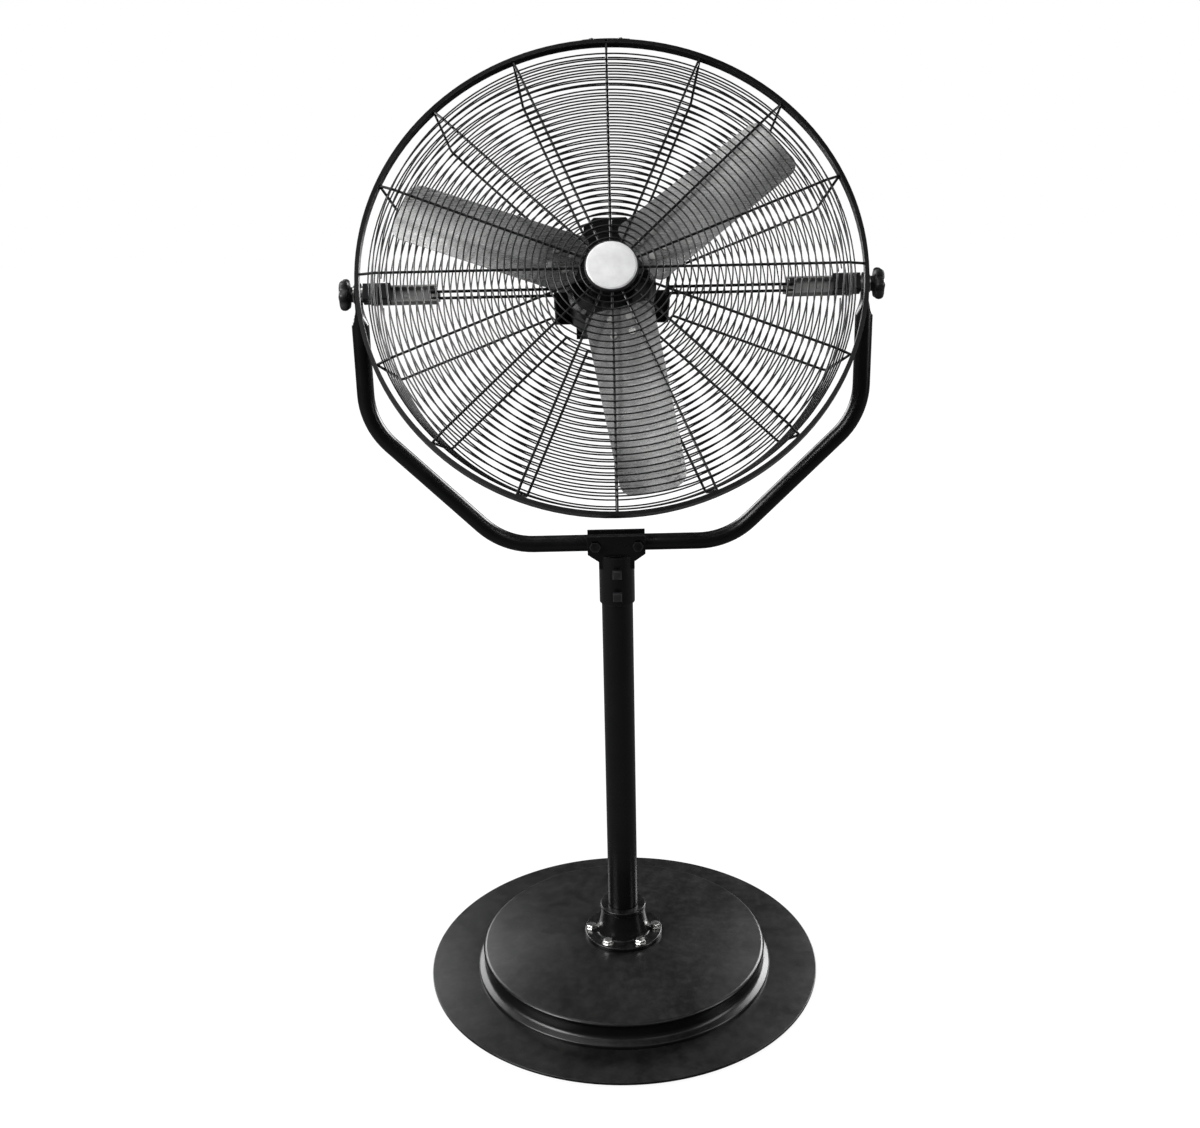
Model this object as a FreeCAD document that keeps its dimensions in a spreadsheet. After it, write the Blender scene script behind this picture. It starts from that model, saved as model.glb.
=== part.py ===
import FreeCAD, Part
import math
import os
import re
import Sketcher
from FreeCAD import Placement, Rotation, Vector

# Yoke pedestal fan, in millimetres and degrees.
# The origin is on the floor under the pole, +Z is up and the fan blows towards -Y.
# The head is modelled level, with its origin on the tilt axis, its front towards -Y,
# and is then tilted up and lifted to the height of the yoke's pivots.

os.makedirs("parts", exist_ok=True)
doc = FreeCAD.newDocument("yoke_pedestal_fan")
sheet = doc.addObject("Spreadsheet::Sheet", "sizes")

SIZES = (
    # general
    ("overrun", 2),
    ("seat_gap", 0.3),
    ("touch_gap", 0.05),
    ("running_gap", 0.08),
    # floor plate and its pads
    ("pad_height", 3),
    ("pad_radius", 16),
    ("pad_circle", 335),
    ("plate_radius", 381),
    ("plate_thickness", 5),
    ("plate_top", "=pad_height + plate_thickness"),
    # dome on the plate, heights above the plate
    ("dome_rim_radius", 289),
    ("dome_lip_height", 7),
    ("dome_neck_radius", 273),
    ("dome_neck_rise", 6),
    ("dome_edge_radius", 278),
    ("dome_edge_height", 47),
    ("dome_shoulder", 4),
    ("dome_seat_radius", 82),
    ("dome_seat_height", 64),
    ("dome_wall", 2),
    ("dome_hole_radius", 32),
    ("seat_level", "=plate_top + dome_seat_height"),
    # cast weight inside the dome
    ("ballast_radius", 225),
    ("ballast_thickness", 10),
    ("ballast_boss_radius", 80),
    ("ballast_top", "=seat_level - dome_wall"),
    ("plate_screw_circle", 150),
    ("plate_screw_radius", 4),
    ("plate_screw_length", 14),
    ("plate_screw_head", 8),
    ("plate_screw_sink", 3.5),
    # flanged socket at the foot of the pole, heights above the dome's seat
    ("flange_radius", 76),
    ("flange_thickness", 8),
    ("bell_foot_radius", 51.5),
    ("bell_foot_height", 14),
    ("bell_neck_radius", 42),
    ("bell_neck_height", 56),
    ("bell_lip_radius", 43),
    ("socket_height", 66),
    ("socket_lip", 4),
    ("socket_bolt_circle", 63),
    ("socket_bolt_radius", 5),
    ("socket_bolt_depth", 24),
    ("m10_flats", 17),
    ("m10_head", 6.5),
    ("m10_washer_radius", 11),
    ("m10_washer", 2),
    # pole
    ("pole_radius", 28.5),
    ("pole_wall", 3),
    # yoke, one bent tube; its own places are counted from the tilt axis
    ("pivot_height", 1353),
    ("yoke_half_width", 431.5),
    ("yoke_drop", 459),
    ("yoke_corner", 229.5),
    ("yoke_bend_angle", 45),
    ("yoke_bend_radius", 130),
    ("yoke_tube_radius", 15),
    ("yoke_tube_wall", 2.5),
    ("bend_setback", "=yoke_bend_radius * tan(yoke_bend_angle / 2)"),
    ("tab_thickness", 10),
    ("tab_width", 38),
    ("tab_start", 26),
    ("tab_transition", 26),
    ("cross_height", "=pivot_height - yoke_drop"),
    # bracket between pole and yoke
    ("saddle_wall", 5),
    ("saddle_half_length", 52),
    ("saddle_rise", 18),
    ("saddle_plate_drop", 16),
    ("saddle_gusset_drop", 30),
    ("saddle_plate_foot", 44),
    ("saddle_floor_half", 44),
    ("saddle_half_inner", "=yoke_tube_radius + seat_gap"),
    ("saddle_floor_top", "=cross_height - yoke_tube_radius - seat_gap"),
    ("saddle_floor_bottom", "=saddle_floor_top - saddle_wall"),
    ("saddle_bolt_offset", 38.5),
    ("saddle_bolt_radius", 5),
    ("bolt_hole_gap", 0.3),
    ("sleeve_wall", 3.7),
    ("sleeve_length", 92),
    ("sleeve_bottom", "=saddle_floor_bottom - sleeve_length"),
    ("sleeve_outer", "=pole_radius + running_gap + sleeve_wall"),
    ("sleeve_screw_drop", 27),
    ("sleeve_screw_high", "=saddle_floor_bottom - sleeve_screw_drop"),
    ("sleeve_screw_spacing", 43),
    ("sleeve_screw_radius", 5),
    ("sleeve_screw_neck", 2.5),
    ("square_head", 16),
    ("square_head_height", 9),
    ("pole_top", "=saddle_floor_bottom - seat_gap"),
    # tilt pivots, places along the tilt axis from the middle of the fan
    ("stud_radius", 6),
    ("tab_inner", "=yoke_half_width - tab_thickness / 2"),
    ("tab_outer", "=yoke_half_width + tab_thickness / 2"),
    ("friction_washer", 4),
    ("friction_washer_radius", 14),
    ("knob_washer", 2.5),
    ("knob_washer_radius", 15),
    ("knob_boss_radius", 13),
    ("knob_boss_height", 6),
    ("knob_star_height", 17),
    ("knob_core_radius", 21),
    ("knob_lobe_radius", 8),
    ("knob_lobe_circle", 21.5),
    ("knob_edge", 2),
    ("stud_in_block", 30),
    ("stud_in_knob", 16),
    ("washer_outer", "=tab_inner - seat_gap"),
    ("block_outer", "=washer_outer - friction_washer"),
    ("block_length", 47),
    ("block_height", 30),
    ("block_front", 14),
    ("block_edge", 1.5),
    ("knob_inner", "=tab_outer + knob_washer + seat_gap"),
    # pressed channels that carry the rods
    ("channel_wall", 3),
    ("channel_back", 14),
    ("channel_front", 2),
    ("channel_length", 77),
    ("channel_tail", 36),
    ("block_inner", "=block_outer - block_length"),
    ("channel_inner_end", "=block_inner - seat_gap - channel_length"),
    ("block_back", "=channel_back - channel_wall"),
    ("block_bolt_radius", 3),
    ("block_bolt_from_end", 19),
    ("block_bolt_rise", 9.5),
    ("block_bolt_depth", 12),
    ("m6_flats", 10),
    ("m6_head", 4),
    ("rod_radius", 2.5),
    ("rod_rise", 6),
    ("rod_in_channel", 14),
    # motor, depths counted backwards from the tilt axis
    ("motor_radius", 76),
    ("motor_wall", 3),
    ("motor_front", -24),
    ("motor_back", 76),
    ("bell_skirt", 26),
    ("bell_shoulder", 16),
    ("bell_crown", 9),
    ("bell_hub_radius", 28),
    ("bell_hub_step", 5),
    ("bell_plate", 4),
    ("bearing_radius", 17.5),
    ("bearing_width", 12),
    ("bearing_cup_wall", 4.5),
    ("bearing_lip_radius", 10),
    ("bearing_lip", 6),
    ("shaft_radius", 8),
    ("shaft_front", -66),
    ("stator_length", 36),
    ("stator_inner", 42.5),
    ("air_gap", 0.5),
    ("winding_radius", 6),
    ("winding_circle", 57),
    ("motor_bolt_circle", 68),
    ("motor_bolt_radius", 2.5),
    ("motor_bolt_head", 4.5),
    ("motor_bolt_head_height", 4),
    ("motor_nut", 5),
    ("motor_bolt_end", 5),
    ("bell_rise", "=(bell_crown - bell_hub_step) / (motor_radius - bell_crown - bell_hub_radius)"),
    ("bolt_seat_reach", "=motor_bolt_circle - motor_bolt_head - bell_hub_radius"),
    ("bolt_seat", "=motor_front + bell_hub_step + bell_rise * bolt_seat_reach - touch_gap"),
    ("motor_middle", "=(motor_front + motor_back) / 2"),
    # bent bracket that carries the motor
    ("cradle_half_width", 98),
    ("cradle_wall", 3),
    ("cradle_half_height", 30),
    ("cradle_plate_half_height", 58),
    ("cradle_plate_half_width", 62),
    ("cradle_front", -14),
    # switch box above the motor
    ("box_half_width", 46),
    ("box_front", 26),
    ("box_depth", 66),
    ("box_top", 146),
    ("box_floor", 80),
    ("box_foot_share", 0.7),
    ("box_wall", 2),
    ("box_corner", 18),
    ("lid_thickness", 2),
    ("lid_screw_inset", 8),
    ("lid_screw_radius", 2),
    ("lid_screw_head", 3.6),
    ("lid_screw_head_height", 2.4),
    ("lid_screw_length", 10),
    ("lid_post_length", 15),
    ("capacitor_radius", 17),
    ("capacitor_length", 48),
    ("capacitor_side", -24),
    ("switch_side", 14),
    ("switch_level", 118),
    ("switch_width", 28),
    ("switch_depth", 24),
    ("switch_stem_radius", 3),
    ("speed_knob_radius", 15),
    ("speed_knob_height", 14),
    ("speed_knob_pointer", 4),
    ("gland_level", 102),
    ("gland_depth", 66),
    ("gland_radius", 9),
    ("gland_nut_flats", 22),
    ("gland_nut", 6),
    ("gland_length", 16),
    ("gland_bore", 4.5),
    # guards, depths counted backwards from the tilt axis
    ("wire_radius", 1.4),
    ("spoke_radius", 2.25),
    ("hoop_radius", 2.5),
    ("spoke_angle", 22.5),
    ("ring_clearance", 1.5),
    ("ring_radius", "=tab_inner - ring_clearance"),
    ("ring_front", -86),
    ("ring_wall", 2),
    ("ring_split", 4),
    ("hoop_clearance", 0.5),
    ("hoop_spacing", 2),
    ("hoop_circle", "=ring_radius - ring_wall - hoop_clearance - hoop_radius"),
    ("ring_depth", "=(ring_wall + seat_gap + hoop_radius * 2) * 2 + hoop_spacing"),
    ("ring_lip", "=ring_wall + hoop_radius * 2"),
    ("ring_back", "=ring_front + ring_depth"),
    ("front_hoop", "=ring_front + ring_wall + seat_gap + hoop_radius"),
    ("rear_hoop", "=ring_back - ring_wall - seat_gap - hoop_radius"),
    ("face_depth", -90),
    ("face_spokes", "=face_depth + wire_radius + spoke_radius + touch_gap"),
    ("face_first", 52),
    ("face_pitch", 11.4),
    ("face_bend_inset", 33),
    ("face_bend_start", "=ring_radius - face_bend_inset"),
    ("face_reach", "=face_bend_start + wire_radius * 2 - face_first"),
    ("face_rings", "=floor(face_reach / face_pitch) + 1"),
    ("face_inner_rings", 18),
    ("spoke_start", 26),
    ("spoke_bend_radius", 12),
    ("face_spoke_end", "=hoop_circle - hoop_radius - touch_gap"),
    ("back_spoke_end", "=hoop_circle - hoop_radius - spoke_radius - touch_gap"),
    ("back_depth", "=channel_back + seat_gap + wire_radius"),
    ("back_spokes", "=back_depth + wire_radius + spoke_radius + touch_gap"),
    ("back_first", 112),
    ("back_pitch", 11.7),
    ("back_corner_inset", 37),
    ("back_corner", "=ring_radius - back_corner_inset"),
    ("back_bend_radius", 10),
    ("back_reach", "=back_corner - back_bend_radius / 2 - back_first"),
    ("back_rings", "=floor(back_reach / back_pitch) + 1"),
    ("back_inner_rings", 17),
    ("wall_first", -21),
    ("wall_pitch", 12),
    ("wall_rings", 4),
    ("broken_rings", 2),
    ("wall_break_angle", 3.6),
    ("wall_slope", "=(back_spoke_end - back_corner) / (back_spokes - rear_hoop)"),
    ("wall_inset", "=wire_radius + spoke_radius + touch_gap"),
    # strap over the joint of the clamp ring
    ("strap_angle", 11),
    ("strap_thickness", 2),
    ("strap_inset", 2),
    ("strap_screw_angle", 3.4),
    # screws of one thread, short ones for the strap and longer ones for the clips
    ("guard_screw_radius", 2.5),
    ("guard_screw_head", 4.5),
    ("guard_screw_head_height", 3),
    ("guard_screw_length", 10),
    ("strap_screw_length", "=strap_thickness + ring_wall"),
    # clips between the rear guard and the channels
    ("clip_length", 24),
    ("clip_width", 16),
    ("clip_thickness", 2),
    ("clip_step", 4),
    ("clip_first_ring", "=ceil((channel_inner_end - back_first) / back_pitch)"),
    ("clip_second_ring", "=clip_first_ring + clip_step"),
    # white disc at the middle of the front guard and what holds it
    ("badge_plate_radius", 45),
    ("badge_plate", 4),
    ("badge_radius", 42.8),
    ("badge_edge", 5),
    ("badge_crown", 3),
    ("badge_crown_share", 0.85),
    ("badge_clamp_radius", 38),
    ("badge_clamp", 2),
    ("badge_screw_radius", 3),
    ("badge_screw_head", 6),
    ("badge_screw_head_height", 3),
    # blades and hub
    ("blade_plane", -50),
    ("blade_thickness", 2),
    ("blade_root", 56),
    ("blade_arm_end", 118),
    ("blade_tip_gap", 45),
    ("blade_tip", "=ring_radius - blade_tip_gap"),
    ("blade_root_chord", 118),
    ("blade_tip_chord", 111),
    ("blade_root_pitch", -10),
    ("blade_tip_pitch", -7),
    ("blade_camber_share", 0.045),
    ("blade_tip_corner", 24),
    ("blade_root_corner", 16),
    ("first_blade_angle", 39.5),
    ("spider_radius", 46),
    ("spider_thickness", 4),
    ("arm_thickness", 3),
    ("arm_width", 52),
    ("arm_start", 30),
    ("hub_radius", 19),
    ("hub_half_length", 14),
    ("rivet_radius", 3),
    ("rivet_head_radius", 6),
    ("rivet_head", 2.4),
    ("rivet_first", 76),
    ("rivet_spacing", 28),
    ("rivet_side", 16),
    ("hub_screw_radius", 3),
    ("hub_screw_setback", 6),
    # head
    ("rest_tilt", 35),
)

for number, (alias, amount) in enumerate(SIZES, start=1):
    cell = "A%d" % number
    sheet.set(cell, str(amount))
    sheet.setAlias(cell, alias)
doc.recompute()

ALIASES = {alias for alias, amount in SIZES}
PAD_COUNT = 6
PLATE_SCREW_COUNT = 4
SOCKET_BOLT_COUNT = 6
BLADE_COUNT = 3
KNOB_LOBE_COUNT = 6
MOTOR_BOLT_COUNT = 4
BLADE_STEPS = 3
FULL_TURN = 360
QUARTER = 90
BOLT_START = 45

X_AXIS = Vector(1, 0, 0)
Y_AXIS = Vector(0, 1, 0)
Z_AXIS = Vector(0, 0, 1)
SIDES = (("left", -1), ("right", 1))

nodes = []


# Reading and binding sizes

def value(alias):
    return float(getattr(sheet, alias))


def formula(text):
    """The text with every size's name pointing into the sheet."""
    def point(match):
        word = match.group(0)
        return "sizes." + word if word in ALIASES else word
    return re.sub(r"[a-z][a-z0-9_]*", point, text)


def bind(thing, path, text):
    thing.setExpression(path, formula(text))
    return thing


def place(thing, spot=("0", "0", "0"), axis=None, angle=0):
    """Turn a piece about an axis through its own origin, then move it to the spot."""
    if axis is not None:
        thing.Placement = Placement(Vector(), Rotation(axis, angle))
    for letter, text in zip("xyz", spot):
        if text != "0":
            bind(thing, "Placement.Base." + letter, text)
    return thing


# Simple shapes

def cylinder(name, radius, length, spot=("0", "0", "0"), axis=None, angle=0):
    piece = doc.addObject("Part::Cylinder", name)
    bind(piece, "Radius", radius)
    bind(piece, "Height", length)
    return place(piece, spot, axis, angle)


def box(name, lengths, corner):
    piece = doc.addObject("Part::Box", name)
    for side, text in zip(("Length", "Width", "Height"), lengths):
        bind(piece, side, text)
    return place(piece, corner)


def hexagon(name, flats, length, spot=("0", "0", "0"), axis=None, angle=0):
    piece = doc.addObject("Part::Prism", name)
    piece.Polygon = 6
    bind(piece, "Circumradius", "(%s) / 2 / cos(30)" % flats)
    bind(piece, "Height", length)
    return place(piece, spot, axis, angle)


def torus(name, circle, wire, depth, start=None, sweep=None):
    """A wire ring round the fan's axis, whole or a stretch of it."""
    piece = doc.addObject("Part::Torus", name)
    bind(piece, "Radius1", circle)
    bind(piece, "Radius2", wire)
    if sweep is not None:
        bind(piece, "Angle3", sweep)
    turn = Rotation(X_AXIS, QUARTER)
    if start is not None:
        turn = turn.multiply(Rotation(Z_AXIS, start))
    piece.Placement = Placement(Vector(), turn)
    return place(piece, ("0", depth, "0"))


def join(name, pieces):
    whole = doc.addObject("Part::MultiFuse", name)
    whole.Shapes = pieces
    return whole


def group(name, pieces):
    whole = doc.addObject("Part::Compound", name)
    whole.Links = pieces
    return whole


def cut(name, base, tools):
    whole = doc.addObject("Part::Cut", name)
    whole.Base = base
    whole.Tool = tools[0] if len(tools) == 1 else group(name + "_cutters", tools)
    return whole


def copies_round(name, make, count, axis, start=0):
    """Copies of a piece made by make(name), spread evenly round an axis through the origin."""
    pieces = []
    for index in range(count):
        piece = group("%s_%d" % (name, index + 1), [make("%s_%d_part" % (name, index + 1))])
        turn = Rotation(axis, start + index * FULL_TURN / count)
        piece.Placement = Placement(Vector(), turn)
        pieces.append(piece)
    return pieces


# Sketched shapes

def plane_of(body, role):
    for feature in body.Origin.OriginFeatures:
        if feature.Role == role:
            return feature


def sketch_on(body, name, role, offset=None):
    sketch = body.newObject("Sketcher::SketchObject", name)
    sketch.AttachmentSupport = [(plane_of(body, role), "")]
    sketch.MapMode = "FlatFace"
    if offset is not None:
        bind(sketch, "AttachmentOffset.Base.z", offset)
    return sketch


def pin_vertex(sketch, edge, corner, spot):
    """Tie a vertex to the sketch's origin by two sizes; a zero lies on the axis."""
    for kind, text, axis in (("DistanceX", spot[0], -2), ("DistanceY", spot[1], -1)):
        if text == "0":
            sketch.addConstraint(Sketcher.Constraint("PointOnObject", edge, corner, axis))
        else:
            now = sketch.getPoint(edge, corner)
            reach = now.x if kind == "DistanceX" else now.y
            index = sketch.addConstraint(Sketcher.Constraint(kind, -1, 1, edge, corner, reach))
            bind(sketch, "Constraints[%d]" % index, text)


def outline(sketch, spots):
    """A closed outline of straight edges through the spots, each spot a pair of formulas."""
    count = len(spots)
    ring = [Vector(math.cos(2 * math.pi * step / count), math.sin(2 * math.pi * step / count), 0)
            for step in range(count)]
    for index in range(count):
        sketch.addGeometry(Part.LineSegment(ring[index], ring[(index + 1) % count]))
    for index in range(count):
        sketch.addConstraint(Sketcher.Constraint("Coincident", index, 2, (index + 1) % count, 1))
    for index, spot in enumerate(spots):
        pin_vertex(sketch, index, 1, spot)


def new_body(name):
    return doc.addObject("PartDesign::Body", name)


def turned(name, role, spots, axis="V_Axis", sweep=None):
    """A turned piece: the outline carried round the sketch's own axis."""
    body = new_body(name)
    sketch = sketch_on(body, name + "_outline", role)
    outline(sketch, spots)
    turn = body.newObject("PartDesign::Revolution", name + "_turn")
    turn.Profile = sketch
    turn.ReferenceAxis = (sketch, [axis])
    if sweep is None:
        turn.Angle = FULL_TURN
    else:
        turn.Midplane = True
        bind(turn, "Angle", sweep)
    return body


def plate(name, role, spots, thickness, offset=None):
    """A flat piece: the outline thickened along the plane's normal."""
    body = new_body(name)
    sketch = sketch_on(body, name + "_outline", role, offset)
    outline(sketch, spots)
    pad = body.newObject("PartDesign::Pad", name + "_pad")
    pad.Profile = sketch
    bind(pad, "Length", thickness)
    return body


def soften(body, radius, wanted):
    """Round the edges of the body for which wanted(edge) is true."""
    doc.recompute()
    base = body.Tip
    edges = ["Edge%d" % (index + 1) for index, edge in enumerate(base.Shape.Edges) if wanted(edge)]
    fillet = body.newObject("PartDesign::Fillet", body.Name + "_soft")
    fillet.Base = (base, edges)
    bind(fillet, "Radius", radius)
    return body


def near(first, second):
    return abs(first - second) < value("touch_gap")


# Naming and placing the finished pieces

def finish(name, piece):
    piece.Label = name
    nodes.append(piece)
    return piece


def on_stand(name, piece):
    return finish(name, piece)


def in_head(name, piece):
    """Tilt a level head piece about the tilt axis and lift it to the pivots."""
    tilted = group(name + "_tilted", [piece])
    tilted.Placement = Placement(Vector(), Rotation(X_AXIS, -1))
    bind(tilted, "Placement.Rotation.Angle", "-rest_tilt")
    bind(tilted, "Placement.Base.z", "pivot_height")
    return finish(name, tilted)


# Floor plate with its pads

def floor_pads():
    def one(name):
        return cylinder(name, "pad_radius", "pad_height", ("pad_circle", "0", "0"))
    return group("pads", copies_round("pad", one, PAD_COUNT, Z_AXIS))


def base_plate():
    spots = [("0", "pad_height"), ("plate_radius", "pad_height"),
             ("plate_radius", "plate_top"), ("0", "plate_top")]
    disc = turned("plate_disc", "XZ_Plane", spots)

    def countersunk(name):
        hole = cylinder(name + "_bore", "plate_screw_radius + touch_gap", "plate_thickness * 2",
                        ("plate_screw_circle", "0", "pad_height - overrun"))
        sink = cylinder(name + "_sink", "plate_screw_head + touch_gap", "plate_screw_sink + overrun",
                        ("plate_screw_circle", "0", "pad_height - overrun"))
        return group(name, [join(name + "_both", [hole, sink])])
    holes = copies_round("plate_hole", countersunk, PLATE_SCREW_COUNT, Z_AXIS)
    return cut("plate", disc, holes)


def plate_screws():
    def one(name):
        spot = ("plate_screw_circle", "0", "pad_height")
        shank = cylinder(name + "_shank", "plate_screw_radius", "plate_screw_length", spot)
        head = cylinder(name + "_head", "plate_screw_head", "plate_screw_sink", spot)
        return join(name, [shank, head])
    return group("plate_screw_group", copies_round("plate_screw", one, PLATE_SCREW_COUNT, Z_AXIS))


# Dome cover: a turned lip, a narrow neck, a rounded shoulder and a shallow cone

def base_dome():
    top = "plate_top + "
    spots = [
        ("dome_rim_radius", "plate_top"),
        ("dome_rim_radius", top + "dome_lip_height"),
        ("dome_neck_radius", top + "dome_lip_height + dome_neck_rise"),
        ("dome_neck_radius", top + "dome_edge_height - dome_shoulder - dome_neck_rise"),
        ("dome_edge_radius", top + "dome_edge_height - dome_shoulder"),
        ("dome_edge_radius - dome_shoulder", top + "dome_edge_height"),
        ("dome_seat_radius", top + "dome_seat_height"),
        ("dome_hole_radius", top + "dome_seat_height"),
        ("dome_hole_radius", top + "dome_seat_height - dome_wall"),
        ("dome_seat_radius", top + "dome_seat_height - dome_wall"),
        ("dome_edge_radius - dome_shoulder", top + "dome_edge_height - dome_wall"),
        ("dome_edge_radius - dome_wall", top + "dome_edge_height - dome_shoulder"),
        ("dome_neck_radius - dome_wall", top + "dome_edge_height - dome_shoulder - dome_neck_rise"),
        ("dome_neck_radius - dome_wall", top + "dome_lip_height + dome_neck_rise"),
        ("dome_rim_radius - dome_wall", top + "dome_lip_height"),
        ("dome_rim_radius - dome_wall", "plate_top"),
    ]
    shell = turned("dome_shell", "XZ_Plane", spots)
    holes = copies_round("dome_hole", socket_bolt_hole, SOCKET_BOLT_COUNT, Z_AXIS)
    return cut("dome", shell, holes)


def socket_bolt_hole(name):
    depth = "socket_bolt_depth + flange_thickness + overrun"
    return cylinder(name, "socket_bolt_radius + touch_gap", depth,
                    ("socket_bolt_circle", "0", "seat_level - socket_bolt_depth"))


# Cast weight under the dome, with the boss that the socket is bolted to

def ballast():
    spots = [
        ("0", "plate_top"), ("ballast_radius", "plate_top"),
        ("ballast_radius", "plate_top + ballast_thickness"),
        ("ballast_boss_radius", "plate_top + ballast_thickness"),
        ("ballast_boss_radius", "ballast_top"), ("0", "ballast_top"),
    ]
    casting = turned("ballast_casting", "XZ_Plane", spots)

    def screw_hole(name):
        return cylinder(name, "plate_screw_radius + touch_gap", "plate_screw_length",
                        ("plate_screw_circle", "0", "pad_height"))
    holes = copies_round("ballast_bolt_hole", socket_bolt_hole, SOCKET_BOLT_COUNT, Z_AXIS)
    holes += copies_round("ballast_screw_hole", screw_hole, PLATE_SCREW_COUNT, Z_AXIS)
    return cut("ballast_drilled", casting, holes)


# Bell-shaped socket, its bolts and the pole

def pole_socket():
    bore = "pole_radius + touch_gap"
    spots = [
        (bore, "seat_level"), ("flange_radius", "seat_level"),
        ("flange_radius", "seat_level + flange_thickness"),
        ("bell_foot_radius", "seat_level + flange_thickness"),
        ("bell_foot_radius - socket_lip / 2", "seat_level + bell_foot_height"),
        ("bell_neck_radius", "seat_level + bell_neck_height"),
        ("bell_lip_radius", "seat_level + socket_height - socket_lip"),
        ("bell_lip_radius", "seat_level + socket_height"),
        (bore, "seat_level + socket_height"),
    ]
    body = turned("socket_casting", "XZ_Plane", spots)
    edge_level = value("seat_level") + value("flange_thickness")
    lip_level = value("seat_level") + value("socket_height")

    def visible_edge(edge):
        low, high = edge.BoundBox.ZMin, edge.BoundBox.ZMax
        reach = edge.BoundBox.XMax
        for level, radius in ((edge_level, "flange_radius"), (lip_level, "bell_lip_radius")):
            if near(low, level) and near(high, level) and near(reach, value(radius)):
                return True
        return False
    soften(body, "socket_lip / 2", visible_edge)
    holes = copies_round("socket_hole", socket_bolt_hole, SOCKET_BOLT_COUNT, Z_AXIS)
    return cut("socket", body, holes)


def socket_bolts():
    level = "seat_level + flange_thickness"

    def one(name):
        shank = cylinder(name + "_shank", "socket_bolt_radius",
                         "socket_bolt_depth + flange_thickness + m10_washer",
                         ("socket_bolt_circle", "0", "seat_level - socket_bolt_depth"))
        washer = cylinder(name + "_washer", "m10_washer_radius", "m10_washer",
                          ("socket_bolt_circle", "0", level))
        head = hexagon(name + "_head", "m10_flats", "m10_head",
                       ("socket_bolt_circle", "0", level + " + m10_washer"))
        return join(name, [shank, washer, head])
    return group("socket_bolt_group", copies_round("socket_bolt", one, SOCKET_BOLT_COUNT, Z_AXIS))


def pole():
    length = "pole_top - ballast_top"
    outside = cylinder("pole_outside", "pole_radius", length, ("0", "0", "ballast_top"))
    inside = cylinder("pole_inside", "pole_radius - pole_wall", length + " + overrun * 2",
                      ("0", "0", "ballast_top - overrun"))
    return cut("pole_tube", outside, [inside])


# Bracket with its sleeve on the pole and its saddle round the cross tube

def yoke_bracket():
    sleeve = cylinder("sleeve_outside", "sleeve_outer", "sleeve_length", ("0", "0", "sleeve_bottom"))
    floor = box("saddle_floor",
                ("saddle_floor_half * 2", "saddle_half_inner * 2 + saddle_wall * 2", "saddle_wall"),
                ("-saddle_floor_half", "-saddle_half_inner - saddle_wall", "saddle_floor_bottom"))
    spots = [
        ("-saddle_half_length", "cross_height + saddle_rise"),
        ("-saddle_half_length", "cross_height - saddle_plate_drop"),
        ("-sleeve_outer", "cross_height - saddle_gusset_drop"),
        ("-sleeve_outer", "cross_height - saddle_plate_foot"),
        ("sleeve_outer", "cross_height - saddle_plate_foot"),
        ("sleeve_outer", "cross_height - saddle_gusset_drop"),
        ("saddle_half_length", "cross_height - saddle_plate_drop"),
        ("saddle_half_length", "cross_height + saddle_rise"),
    ]
    front = plate("saddle_front", "XZ_Plane", spots, "saddle_wall", "saddle_half_inner")
    back = plate("saddle_back", "XZ_Plane", spots, "saddle_wall", "-saddle_half_inner - saddle_wall")
    solid = join("bracket_solid", [sleeve, floor, front, back])
    bore = cylinder("sleeve_bore", "pole_radius + running_gap", "sleeve_length + overrun",
                    ("0", "0", "sleeve_bottom - overrun"))
    holes = [bore]
    for side, sign in SIDES:
        holes.append(cylinder("saddle_hole_" + side, "saddle_bolt_radius + touch_gap",
                              "saddle_half_inner * 2 + saddle_wall * 2 + overrun * 2",
                              ("%d * saddle_bolt_offset" % sign,
                               "saddle_half_inner + saddle_wall + overrun", "cross_height"),
                              X_AXIS, QUARTER))
    for index in range(2):
        holes.append(cylinder("sleeve_screw_hole_%d" % (index + 1), "sleeve_screw_radius + touch_gap",
                              "sleeve_outer", ("0", "0", sleeve_screw_level(index)), X_AXIS, QUARTER))
    return cut("bracket", solid, holes)


def sleeve_screw_level(index):
    return "sleeve_screw_high - %d * sleeve_screw_spacing" % index


def sleeve_screws():
    screws = []
    for index in range(2):
        level = sleeve_screw_level(index)
        shank = cylinder("sleeve_shank_%d" % (index + 1), "sleeve_screw_radius",
                         "sleeve_outer - pole_radius - seat_gap + sleeve_screw_neck",
                         ("0", "-pole_radius - seat_gap", level), X_AXIS, QUARTER)
        head = box("sleeve_head_%d" % (index + 1), ("square_head", "square_head_height", "square_head"),
                   ("-square_head / 2", "-sleeve_outer - sleeve_screw_neck - square_head_height",
                    level + " - square_head / 2"))
        screws.append(join("sleeve_screw_%d" % (index + 1), [shank, head]))
    return group("sleeve_screw_group", screws)


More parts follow.
